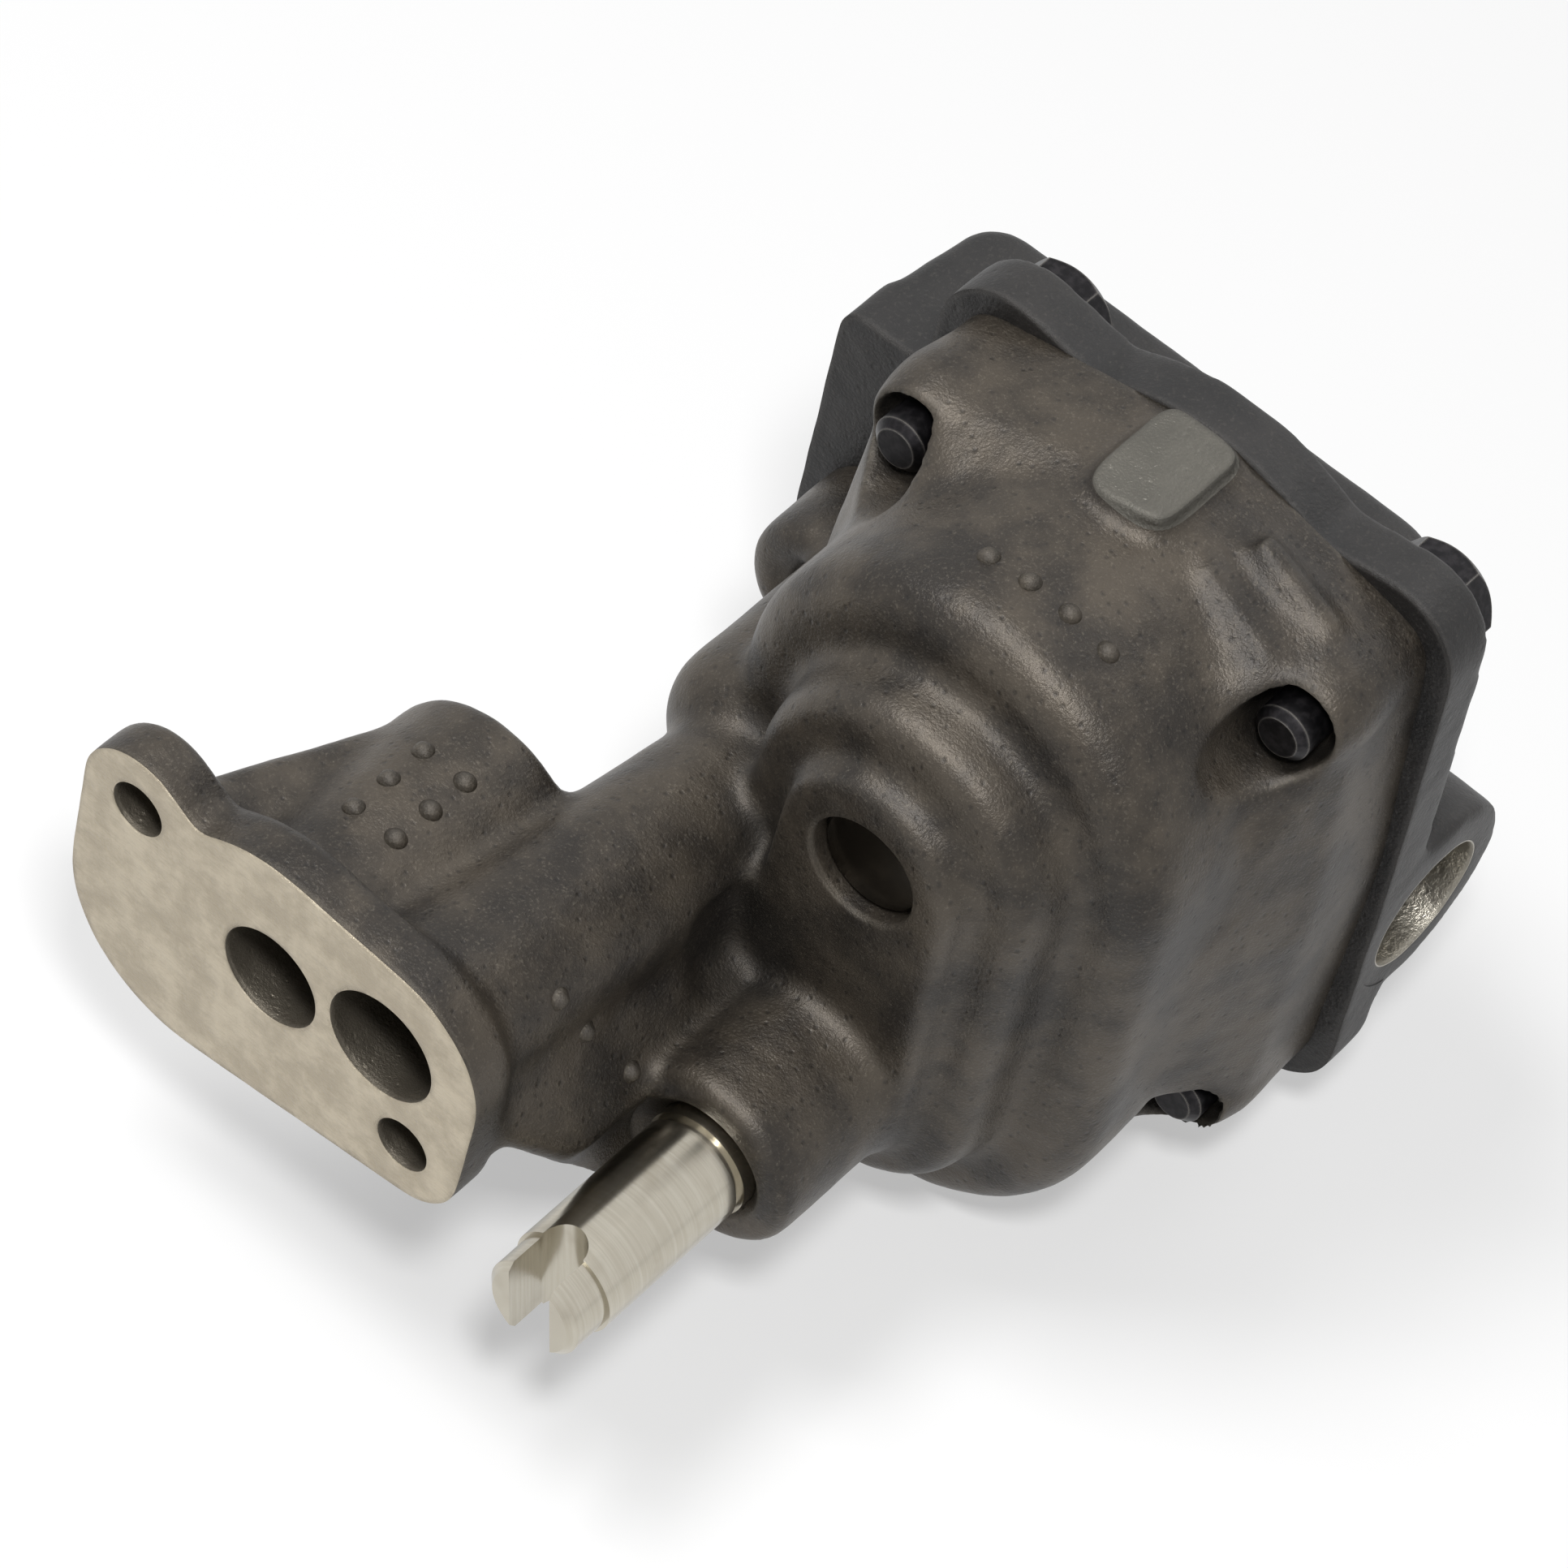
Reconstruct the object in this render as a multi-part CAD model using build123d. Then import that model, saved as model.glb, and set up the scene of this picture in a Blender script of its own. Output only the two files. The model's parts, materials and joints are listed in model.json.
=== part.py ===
from build123d import *
import math
import os

# Gear-type engine oil pump. Everything is drawn in the pump's own frame:
# the drive shaft runs along Y, y = 0 is the machined mounting face and the
# idler shaft stands straight above the drive shaft. place() then moves the
# finished pieces so that the row's origin is the centre of the mounting bolt
# hole on that face. All lengths are millimetres.

# ---- mounting face -------------------------------------------------------
BOLT_X = -37.5
BOLT_Z = 16.5
DOWEL_LINE_DEG = -25.3
DOWEL_HALF_SPACING = 20.64
OUTLET_ALONG = 11.4
OUTLET_ACROSS = 8.8
BOLT_HOLE_R = 5.95
DOWEL_HOLE_R = 3.2
DOWEL_HOLE_DEPTH = 4.8
OUTLET_R = 6.55
OUTLET_BORE_DEPTH = 18.0
FLANGE_THICKNESS = 6.0
EAR_R = 7.2
OUTLET_LAND_R = 12.4
BOLT_LAND_R = 16.5
LOWER_LAND_R = 15.2
LOWER_LAND_ALONG = -7.6
LOWER_LAND_ACROSS = -9.5
BOLT_BOSS_R = 12.1
BOLT_BOSS_LENGTH = 33.0

# ---- neck ----------------------------------------------------------------
NECK_END_X = -20.0
NECK_END_Z = 17.4
NECK_R = 9.0
NECK_START_R = 10.4
WEB_FRONT = 23.5
WEB_TOP_R = 4.7
WEB_FOOT_R = 5.5
WEB_FOOT = (-7.0, -5.0)
FLANK_START = (-13.2, 11.5)
FLANK_EDGE_R = 1.8
HOLLOW_TOP = (-10.6, 18.2)
HOLLOW_FOOT = (-9.6, 11.5)
HOLLOW_R = 2.6
HOLLOW_FRONT = 33.0
HOLLOW_BACK = 41.0
SHAFT_CLEARANCE_R = 8.2
MOUTH_CHAMFER = 1.3

# ---- shafts and gears ----------------------------------------------------
CENTRE_DISTANCE = 33.0
TEETH = 12
PRESSURE_ANGLE_DEG = 28.0
ADDENDUM_FACTOR = 0.95
DEDENDUM_FACTOR = 1.18
BACKLASH = 0.16
TIP_CLEARANCE = 0.10
GEAR_LENGTH = 32.8
GEAR_END_CLEARANCE = 0.10
DRIVE_SHAFT_R = 6.17
DRIVE_SHAFT_TIP_Y = -1.0
EXPOSED_SHAFT_R = 6.0
UNDERCUT_R = 5.6
UNDERCUT_LENGTH = 1.0
JOURNAL_START_Y = 24.0
PILOT_R = 5.6
PILOT_LENGTH = 5.0
SHAFT_CHAMFER = 0.8
SLOT_WIDTH = 5.2
SLOT_DEPTH = 7.4
SLOT_ANGLE_DEG = 100.0
RUNNING_CLEARANCE = 0.04
IDLER_SHAFT_R = 6.35
IDLER_RECESS = 2.0
PIN_R = 1.6

# ---- housing -------------------------------------------------------------
JOINT_Y = 88.5
BARREL_R = 26.5
BARREL_FRONT = 52.0
STEP_R = 19.0
STEP_FRONT = 44.5
IDLER_BOSS_R = 11.6
IDLER_BOSS_FRONT = 41.0
DRIVE_BOSS_R = 10.9
DRIVE_BOSS_FRONT = 24.5
OUTLET_BULGE_R = 10.0
OUTLET_BULGE_FRONT = 49.0
OUTLET_BULGE_BACK = 76.0
RIM_STRAIGHT = 11.5
RIM_FLARE = 15.0
RIM_FLARE_INSET = 5.4
RIM_FLARE_LOBE_R = 0.9
RIM_FLARE_PULL = 0.82
RIM_ARC_R = 27.2
RIM_SIDE_R = 31.8
RIM_SIDE_Z = 20.0
LOBE_R = 5.5
EAR_LOBE_R = 8.9
SPOT_FACE_R = 5.0
GULLY_R = 2.0
GULLY_LENGTH = 10.0
GULLY_SHIFT = 3.4
SCOOP_REACH = 6.0
CLAMP_THICKNESS = 6.0
PAD_WIDTH = 9.4
PAD_LENGTH = 13.4
PAD_RISE = 1.6
PAD_BACK_GAP = 1.0
PAD_X = -0.8
PAD_CREASE_X = -0.4
PAD_CREASE_TURN = 25.0
PAD_SLOPE = 11.0

# ---- cover and its fasteners ----------------------------------------------
COVER_PLATE = 7.0
COVER_ARC_OVERHANG = 0.4
COVER_SPOT_DROP = 1.8
COVER_SIDE_OVERHANG = 1.7
COVER_LOBE_R = 8.4
TUNNEL_LEFT = -44.0
TUNNEL_RIGHT = 19.0
TUNNEL_BOTTOM = 22.0
TUNNEL_TOP = 42.0
TUNNEL_DEPTH = 22.5
TUNNEL_END_DRAFT = 5.0
INLET_FACE_X = 33.8
INLET_BOSS_R = 12.6
INLET_BOSS_INNER_X = 4.0
INLET_R = 7.94
INLET_SEAT_DEPTH = 12.0
INLET_WAY_R = 7.2
INLET_WAY_END_X = 9.0
INLET_SPOT_R = 10.4
INLET_SET_BACK = 10.9
INLET_Z = 6.5
SCREW_R = 3.175
SCREW_HOLE_CLEARANCE = 0.35
SCREW_TIP_PROUD = 11.0
SCREW_HEAD_R = 6.3
SCREW_HEAD_HEIGHT = 4.1
WASHER_R = 6.2
WASHER_THICKNESS = 1.4
TOP_SCREW_UP = 17.0
TOP_LEFT_SCREW_INSET = 1.7
TOP_RIGHT_SCREW_INSET = 3.0
BOTTOM_SCREW_DOWN = 9.5
BOTTOM_SCREW_INSET = 0.5
SIDE_SCREW = (-32.6, 14.8)

# ---- relief valve ----------------------------------------------------------
VALVE_R = 6.6
VALVE_CLEARANCE = 0.04
VALVE_LENGTH = 17.0
VALVE_SEAT_X = 12.0
VALVE_SKIRT = 11.0
VALVE_WALL = 1.5
SPRING_WIRE_R = 0.75
SPRING_R = 4.0
SPRING_COILS = 8
RETAINER_R = 1.6
RETAINER_X = -39.0
RETAINER_TOP_GAP = 1.6

# ---- worked out from the sizes above ---------------------------------------
DOWEL_DIR = (math.cos(math.radians(DOWEL_LINE_DEG)), math.sin(math.radians(DOWEL_LINE_DEG)))


def on_face(along, across):
    """A place on the mounting face, from the bolt hole along and across the dowel line."""
    dx, dz = DOWEL_DIR
    return (BOLT_X + along * dx - across * dz, BOLT_Z + along * dz + across * dx)


BOLT = (BOLT_X, BOLT_Z)
OUTLET = on_face(OUTLET_ALONG, OUTLET_ACROSS)
DOWELS = (on_face(-DOWEL_HALF_SPACING, 0), on_face(DOWEL_HALF_SPACING, 0))
LOWER_LAND = on_face(LOWER_LAND_ALONG, LOWER_LAND_ACROSS)
NECK_END = (NECK_END_X, NECK_END_Z)
DRIVE = (0.0, 0.0)
IDLER = (0.0, CENTRE_DISTANCE)
MODULE = CENTRE_DISTANCE / TEETH
PITCH_R = CENTRE_DISTANCE / 2
GEAR_R = PITCH_R + ADDENDUM_FACTOR * MODULE
GEAR_ROOT_R = PITCH_R - DEDENDUM_FACTOR * MODULE
CAVITY_R = GEAR_R + TIP_CLEARANCE
CAVITY_FRONT = JOINT_Y - GEAR_LENGTH - 2 * GEAR_END_CLEARANCE
GEAR_FRONT = CAVITY_FRONT + GEAR_END_CLEARANCE
GEAR_BACK = GEAR_FRONT + GEAR_LENGTH
PORT_Z = CENTRE_DISTANCE / 2
SCREW_PLACES = {
    "top_left": (TOP_LEFT_SCREW_INSET - BARREL_R, CENTRE_DISTANCE + TOP_SCREW_UP),
    "top_right": (BARREL_R - TOP_RIGHT_SCREW_INSET, CENTRE_DISTANCE + TOP_SCREW_UP),
    "bottom_left": (BOTTOM_SCREW_INSET - BARREL_R, -BOTTOM_SCREW_DOWN),
    "bottom_right": (BARREL_R - BOTTOM_SCREW_INSET, -BOTTOM_SCREW_DOWN),
    "side": SIDE_SCREW,
}
PLATE_BACK = JOINT_Y + COVER_PLATE
SCREW_SEAT_Y = PLATE_BACK - COVER_SPOT_DROP
TUNNEL_BACK = JOINT_Y + TUNNEL_DEPTH
INLET_Y = JOINT_Y + INLET_SET_BACK
VALVE_Y = JOINT_Y + TUNNEL_DEPTH / 2 + 1.0
VALVE_Z = (TUNNEL_BOTTOM + TUNNEL_TOP) / 2
VALVE_BORE_R = VALVE_R + VALVE_CLEARANCE
SPOT_FACE_Y = JOINT_Y - CLAMP_THICKNESS
SCREW_TIP_Y = SPOT_FACE_Y - SCREW_TIP_PROUD
PAD_TOP_Z = CENTRE_DISTANCE + RIM_ARC_R + PAD_RISE
RETAINER_TOP_Z = TUNNEL_TOP - RETAINER_TOP_GAP
DOWNWARDS = (Align.CENTER, Align.CENTER, Align.MAX)
SLOPE_ALIGN = (Align.MAX, Align.CENTER, Align.MIN)


# ---- drawing helpers --------------------------------------------------------
def section(y):
    """A drawing plane at depth y whose own axes are the pump's X and Z."""
    return Plane(origin=(0, y, 0), x_dir=(1, 0, 0), z_dir=(0, -1, 0))


def prism(sketch, front, back, draft=0.0):
    """A sketch run from depth back forward to depth front, narrowing by the draft angle."""
    return extrude(section(back) * sketch, amount=back - front, taper=draft)


def disc(place, radius):
    return Pos(*place) * Circle(radius)


def hull(*discs):
    """The outline of a belt stretched round some discs, each given as (place, radius)."""
    edges = []
    for place, radius in discs:
        edges += disc(place, radius).edges()
    return make_hull(edges)


def rod(place, radius, front, back):
    return prism(disc(place, radius), front, back)


def front_edges(part, y, tolerance=0.05):
    return part.edges().filter_by(lambda e: abs(e.bounding_box().min.Y - y) < tolerance
                                  and abs(e.bounding_box().max.Y - y) < tolerance)


def rounded_front(sketch, front, back, radius, draft=0.0):
    """A cast boss: a drafted prism with its front rim rounded."""
    part = prism(sketch, front, back, draft)
    return fillet(front_edges(part, front), radius)


# ---- pump body --------------------------------------------------------------
def mounting_flange():
    """The machined oval flange with an ear round each dowel hole."""
    wide = hull((LOWER_LAND, LOWER_LAND_R), (OUTLET, OUTLET_LAND_R), (BOLT, BOLT_LAND_R),
                (DOWELS[1], EAR_R))
    ear = hull((DOWELS[0], EAR_R), (LOWER_LAND, LOWER_LAND_R))
    flange = prism(wide + ear, 0, FLANGE_THICKNESS)
    return fillet(front_edges(flange, FLANGE_THICKNESS), 1.2)


def bolt_boss():
    """The long pillar that the mounting bolt passes through, with a gusset to the ear."""
    boss = rounded_front(disc(BOLT, BOLT_BOSS_R), 0, BOLT_BOSS_LENGTH, 0.5)
    boss = fillet(front_edges(boss, BOLT_BOSS_LENGTH), 2.0)
    ear_x, ear_z = on_face(-DOWEL_HALF_SPACING + 3.0, 0)
    root = hull(((ear_x, ear_z), 3.2), (BOLT, 3.2))
    crest = hull((on_face(-BOLT_BOSS_R + 2.5, 0), 2.4), (BOLT, 2.4))
    gusset = loft([section(FLANGE_THICKNESS / 2) * root, section(BOLT_BOSS_LENGTH - 5) * crest])
    return boss + gusset


def neck():
    """The outlet tube and the thin web that ties it to the flange and the shaft boss."""
    start = Vector(OUTLET[0], FLANGE_THICKNESS / 2, OUTLET[1])
    end = Vector(NECK_END[0], OUTLET_BULGE_FRONT + 4, NECK_END[1])
    run = end - start
    cone = Cone(NECK_START_R, NECK_R, run.length, align=(Align.CENTER, Align.CENTER, Align.MIN))
    tube = Plane(origin=start, z_dir=run) * cone
    web_outline = hull((NECK_END, WEB_TOP_R), (WEB_FOOT, WEB_FOOT_R))
    flank_start = hull((OUTLET, NECK_START_R - 1), (FLANK_START, FLANK_EDGE_R))
    flare = loft([section(FLANGE_THICKNESS - 1) * flank_start, section(WEB_FRONT) * web_outline])
    web = prism(web_outline, WEB_FRONT, STEP_FRONT + 3)
    hollow = prism(hull((HOLLOW_TOP, HOLLOW_R), (HOLLOW_FOOT, HOLLOW_R)), HOLLOW_FRONT, HOLLOW_BACK)
    hollow = fillet(front_edges(hollow, HOLLOW_FRONT), HOLLOW_R - 0.2)
    return tube + flare + web - hollow


def barrel():
    """The gear housing in its steps: shaft bosses, shoulder ring, main barrel, outlet bulge."""
    drive_boss = rounded_front(disc(DRIVE, DRIVE_BOSS_R), DRIVE_BOSS_FRONT, BARREL_FRONT, 1.5)
    idler_boss = rounded_front(hull((IDLER, IDLER_BOSS_R), (DRIVE, IDLER_BOSS_R + 1)),
                               IDLER_BOSS_FRONT, STEP_FRONT + 8, 1.2, 4)
    ring = rounded_front(hull((IDLER, STEP_R), (DRIVE, STEP_R)), STEP_FRONT, BARREL_FRONT + 6, 3.0, 8)
    main = rounded_front(hull((IDLER, BARREL_R), (DRIVE, BARREL_R)), BARREL_FRONT, JOINT_Y, 5.0)
    bulge = rounded_front(hull((OUTLET, OUTLET_BULGE_R), ((-8, PORT_Z), OUTLET_BULGE_R)),
                          OUTLET_BULGE_FRONT, OUTLET_BULGE_BACK, 7.0)
    return main + ring + idler_boss + drive_boss + bulge


def rim_outline(inset=0.0, lobe_r=LOBE_R, pull=1.0):
    """The joint-face outline: two gear arcs, bulging sides and four corner lobes, which can be pulled in."""
    corners = []
    for name, (x, z) in SCREW_PLACES.items():
        shaft_z = IDLER[1] if z > PORT_Z else DRIVE[1]
        if name != "side":
            corners.append(((x * pull, shaft_z + (z - shaft_z) * pull), lobe_r))
    return hull((IDLER, RIM_ARC_R - inset), (DRIVE, RIM_ARC_R - inset),
                ((0, RIM_SIDE_Z), RIM_SIDE_R - inset), *corners)


def rim():
    """The joint rim, flaring out of the barrel, with the ear for the side screw."""
    front = JOINT_Y - RIM_STRAIGHT
    straight = prism(rim_outline(), front, JOINT_Y)
    inner = rim_outline(RIM_FLARE_INSET, RIM_FLARE_LOBE_R, RIM_FLARE_PULL)
    flare = loft([section(front - RIM_FLARE) * inner, section(front) * rim_outline()], ruled=True)
    side = SCREW_PLACES["side"]
    ear = rounded_front(hull((side, EAR_LOBE_R), ((-12, side[1]), EAR_LOBE_R + 5)), front - 1, JOINT_Y, 2.5)
    return straight + flare + ear


def scoops():
    """The round-ended pocket in front of each screw, with a gully towards the middle of the side."""
    cuts = Part()
    front = SCREW_TIP_Y - SCOOP_REACH
    for name, (x, z) in SCREW_PLACES.items():
        cuts += rounded_front(disc((x, z), SPOT_FACE_R), front, SPOT_FACE_Y, SPOT_FACE_R - 0.2)
        if name != "side":
            end = (x + math.copysign(GULLY_SHIFT, x), z + math.copysign(GULLY_LENGTH, PORT_Z - z))
            gully = hull(((x, z), SPOT_FACE_R - 0.4), (end, GULLY_R))
            cuts += rounded_front(gully, front, SPOT_FACE_Y - 3, GULLY_R - 0.2)
    return cuts


def casting_pad():
    """The low ground pad on top of the housing, where the casting's feeder was cut off."""
    back = JOINT_Y - PAD_BACK_GAP
    block = Pos(PAD_X, back - PAD_LENGTH / 2, PAD_TOP_Z - 4) * Box(PAD_WIDTH, PAD_LENGTH, 8)
    block = fillet(block.edges().filter_by(Axis.Z), 1.8)
    crease = Pos(PAD_X + PAD_CREASE_X, back - PAD_LENGTH / 2, PAD_TOP_Z) * Rot(0, 0, PAD_CREASE_TURN)
    slope = crease * Rot(0, -PAD_SLOPE, 0) * Box(PAD_LENGTH * 2, PAD_LENGTH * 2, 4, align=SLOPE_ALIGN)
    return block - slope


def gear_cavity():
    return prism(disc(DRIVE, CAVITY_R) + disc(IDLER, CAVITY_R), CAVITY_FRONT, JOINT_Y)


def oil_passages():
    """The outlet bore in the face, the sloping cored way behind it and the two ports."""
    bore = rod(OUTLET, OUTLET_R, 0, OUTLET_BORE_DEPTH)
    way = loft([section(OUTLET_BORE_DEPTH - 0.5) * disc(OUTLET, OUTLET_R - 0.4),
                section(OUTLET_BULGE_BACK - 8) * disc((NECK_END_X - 0.5, PORT_Z + 1), OUTLET_R - 1.2)])
    port = prism(Pos(-17, PORT_Z) * RectangleRounded(16, 10, 3), CAVITY_FRONT + 3, OUTLET_BULGE_BACK - 6)
    inlet = prism(Pos(17, PORT_Z) * RectangleRounded(14, 16, 3), CAVITY_FRONT + 8, JOINT_Y)
    return bore + way + port + inlet


def body_holes():
    cuts = rod(BOLT, BOLT_HOLE_R, 0, BOLT_BOSS_LENGTH)
    for place in DOWELS:
        cuts += rod(place, DOWEL_HOLE_R, 0, DOWEL_HOLE_DEPTH)
    cuts += rod(DRIVE, DRIVE_SHAFT_R + RUNNING_CLEARANCE, DRIVE_BOSS_FRONT, CAVITY_FRONT)
    cuts += rod(DRIVE, SHAFT_CLEARANCE_R, 0, DRIVE_BOSS_FRONT)
    cuts += loft([section(DRIVE_BOSS_FRONT) * disc(DRIVE, DRIVE_SHAFT_R + MOUTH_CHAMFER),
                  section(DRIVE_BOSS_FRONT + MOUTH_CHAMFER) * disc(DRIVE, DRIVE_SHAFT_R)])
    cuts += rod(IDLER, IDLER_SHAFT_R, IDLER_BOSS_FRONT, CAVITY_FRONT)
    for place in SCREW_PLACES.values():
        cuts += rod(place, SCREW_R, SPOT_FACE_Y, JOINT_Y)
    return cuts


def pump_body():
    casting = mounting_flange() + bolt_boss() + neck() + barrel() + rim()
    casting = casting - scoops() + main_walls() + casting_pad()
    return casting - gear_cavity() - oil_passages() - body_holes()


def main_walls():
    """The housing wall that the scoops leave standing round the gears."""
    wall = CAVITY_R + 4.2
    return prism(hull((IDLER, wall), (DRIVE, wall)), CAVITY_FRONT, JOINT_Y)


# ---- pump cover --------------------------------------------------------------
def cover_plate():
    """The cover's flat plate: gear arcs and bulging sides, with a round lobe at each screw."""
    middle = ((0, RIM_SIDE_Z), RIM_SIDE_R + COVER_SIDE_OVERHANG)
    arc = RIM_ARC_R + COVER_ARC_OVERHANG
    outline = hull((IDLER, arc), middle) + hull((DRIVE, arc), middle)
    for name, spot in SCREW_PLACES.items():
        outline += hull((spot, EAR_LOBE_R + 0.4 if name == "side" else COVER_LOBE_R), middle)
    left = Pos((TUNNEL_LEFT - 10) / 2, (TUNNEL_TOP + 8) / 2) * RectangleRounded(
        -10 - TUNNEL_LEFT, TUNNEL_TOP - 8, 2.5)
    return prism(outline + left, JOINT_Y, PLATE_BACK)


def valve_tunnel():
    """The cast tunnel across the cover that holds the relief valve."""
    length = TUNNEL_RIGHT - TUNNEL_LEFT
    height = TUNNEL_TOP - TUNNEL_BOTTOM
    block = Pos((TUNNEL_LEFT + TUNNEL_RIGHT) / 2, JOINT_Y + TUNNEL_DEPTH / 2, VALVE_Z) * Box(
        length, TUNNEL_DEPTH, height)
    reach = 2 * TUNNEL_DEPTH
    lean = Rot(0, 0, -TUNNEL_END_DRAFT) * Pos(-reach / 2, 0, 0) * Box(reach, 2 * reach, 4 * height)
    block -= Pos(TUNNEL_LEFT, JOINT_Y, VALVE_Z) * lean
    back_ends = block.edges().filter_by(Axis.Z).filter_by(lambda e: e.center().Y > PLATE_BACK)
    block = fillet(back_ends, 5.5)
    return fillet(block.edges().filter_by(Axis.X).filter_by(lambda e: e.center().Y > PLATE_BACK), 2.5)


def inlet_boss():
    """The round boss for the pickup tube, cut off flat at the joint face."""
    length = INLET_FACE_X - INLET_BOSS_INNER_X
    boss = Pos(INLET_FACE_X - length / 2, INLET_Y, INLET_Z) * Rot(0, 90, 0) * Cylinder(INLET_BOSS_R, length)
    in_front = Pos(INLET_FACE_X, JOINT_Y - INLET_BOSS_R, INLET_Z) * Box(
        4 * length, 2 * INLET_BOSS_R, 4 * INLET_BOSS_R)
    return boss - in_front


def cover_cuts():
    seat_middle_x = INLET_FACE_X - INLET_SEAT_DEPTH / 2
    seat = along_x(seat_middle_x, INLET_Y, INLET_Z) * Cylinder(INLET_R, INLET_SEAT_DEPTH)
    way_length = INLET_FACE_X - INLET_WAY_END_X
    way = along_x(INLET_FACE_X - way_length / 2, INLET_Y, INLET_Z) * Cylinder(INLET_WAY_R, way_length)
    cuts = seat + way + prism(Pos(15.5, PORT_Z - 3) * RectangleRounded(11, 13, 3), JOINT_Y, INLET_Y)
    spot_middle_x = INLET_FACE_X + COVER_LOBE_R / 2
    cuts += along_x(spot_middle_x, INLET_Y, INLET_Z) * Cylinder(INLET_SPOT_R, COVER_LOBE_R)
    bore_length = VALVE_SEAT_X - TUNNEL_LEFT
    cuts += Pos((VALVE_SEAT_X + TUNNEL_LEFT) / 2, VALVE_Y, VALVE_Z) * Rot(0, 90, 0) * Cylinder(
        VALVE_BORE_R, bore_length)
    for spot in SCREW_PLACES.values():
        cuts += rod(spot, SCREW_R + SCREW_HOLE_CLEARANCE, JOINT_Y, PLATE_BACK)
        cuts += rod(spot, WASHER_R + 0.6, SCREW_SEAT_Y, TUNNEL_BACK + 5)
    cuts += Pos(RETAINER_X, VALVE_Y, RETAINER_TOP_Z) * Cylinder(
        RETAINER_R, TUNNEL_TOP - TUNNEL_BOTTOM, align=DOWNWARDS)
    return cuts


def pump_cover():
    return cover_plate() + valve_tunnel() + inlet_boss() - cover_cuts()


# ---- gears and shafts ---------------------------------------------------------
def involute_point(base_r, radius):
    """Polar angle of an involute from its start on the base circle out to radius."""
    if radius <= base_r:
        return 0.0
    pressure = math.acos(base_r / radius)
    return math.tan(pressure) - pressure


def gear_outline(phase_deg):
    """Closed spur-gear outline; phase_deg turns the middle of the first tooth from +X to +Z."""
    pressure = math.radians(PRESSURE_ANGLE_DEG)
    base_r = PITCH_R * math.cos(pressure)
    half_tooth = math.pi / (2 * TEETH) - BACKLASH / (2 * PITCH_R)
    half_at_base = half_tooth + math.tan(pressure) - pressure
    steps = 5
    radii = [GEAR_ROOT_R]
    radii += [base_r + (GEAR_R - base_r) * i / (steps - 1) for i in range(steps)]

    def polar(radius, angle):
        return (radius * math.cos(angle), radius * math.sin(angle))

    edges = []
    for tooth in range(TEETH):
        middle = math.radians(phase_deg) + 2 * math.pi * tooth / TEETH
        rise = [polar(r, middle - half_at_base + involute_point(base_r, r)) for r in radii]
        fall = [polar(r, middle + half_at_base - involute_point(base_r, r)) for r in reversed(radii)]
        following = middle + 2 * math.pi / TEETH - half_at_base
        edges.append(Line(rise[0], rise[1]))
        edges.append(Spline(*rise[1:]))
        edges.append(ThreePointArc(rise[-1], polar(GEAR_R, middle), fall[0]))
        edges.append(Spline(*fall[:-1]))
        edges.append(Line(fall[-2], fall[-1]))
        valley = (middle + half_at_base + following) / 2
        edges.append(ThreePointArc(fall[-1], polar(GEAR_ROOT_R, valley), polar(GEAR_ROOT_R, following)))
    return make_face(edges)


def gear(place, bore_r, phase_deg):
    blank = prism(Pos(*place) * gear_outline(phase_deg), GEAR_FRONT, GEAR_BACK)
    return blank - rod(place, bore_r, GEAR_FRONT, GEAR_BACK)


def gear_pin():
    """The cross pin that fixes the drive gear, in the valleys on either side."""
    length = 2 * GEAR_ROOT_R - 0.6
    middle = (GEAR_FRONT + GEAR_BACK) / 2
    return Pos(0, middle, 0) * Rot(0, 90 - 180 / TEETH, 0) * Cylinder(PIN_R, length)


def drive_shaft():
    """Hardened shaft with a pilot and a cross slot for the intermediate shaft's tang."""
    shaft = rod(DRIVE, DRIVE_SHAFT_R, JOURNAL_START_Y, GEAR_BACK)
    undercut_y = JOURNAL_START_Y - UNDERCUT_LENGTH
    shaft += rod(DRIVE, EXPOSED_SHAFT_R, DRIVE_SHAFT_TIP_Y + PILOT_LENGTH, undercut_y)
    shaft += rod(DRIVE, UNDERCUT_R, undercut_y, JOURNAL_START_Y)
    pilot = rod(DRIVE, PILOT_R, DRIVE_SHAFT_TIP_Y, DRIVE_SHAFT_TIP_Y + PILOT_LENGTH)
    pilot = chamfer(front_edges(pilot, DRIVE_SHAFT_TIP_Y), SHAFT_CHAMFER)
    reach = DRIVE_SHAFT_R + 1
    cutter = Pos(0, DRIVE_SHAFT_TIP_Y, 0) * Box(SLOT_WIDTH, 2 * (SLOT_DEPTH - SLOT_WIDTH / 2), 2 * reach)
    root = Pos(0, DRIVE_SHAFT_TIP_Y + SLOT_DEPTH - SLOT_WIDTH / 2, 0) * Cylinder(SLOT_WIDTH / 2, 2 * reach)
    slot = Rot(0, 90 - SLOT_ANGLE_DEG, 0) * (cutter + root)
    return shaft + pilot - slot - gear_pin()


def idler_shaft():
    shaft = rod(IDLER, IDLER_SHAFT_R, IDLER_BOSS_FRONT + IDLER_RECESS, GEAR_BACK)
    return chamfer(front_edges(shaft, IDLER_BOSS_FRONT + IDLER_RECESS), 0.6)


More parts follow.
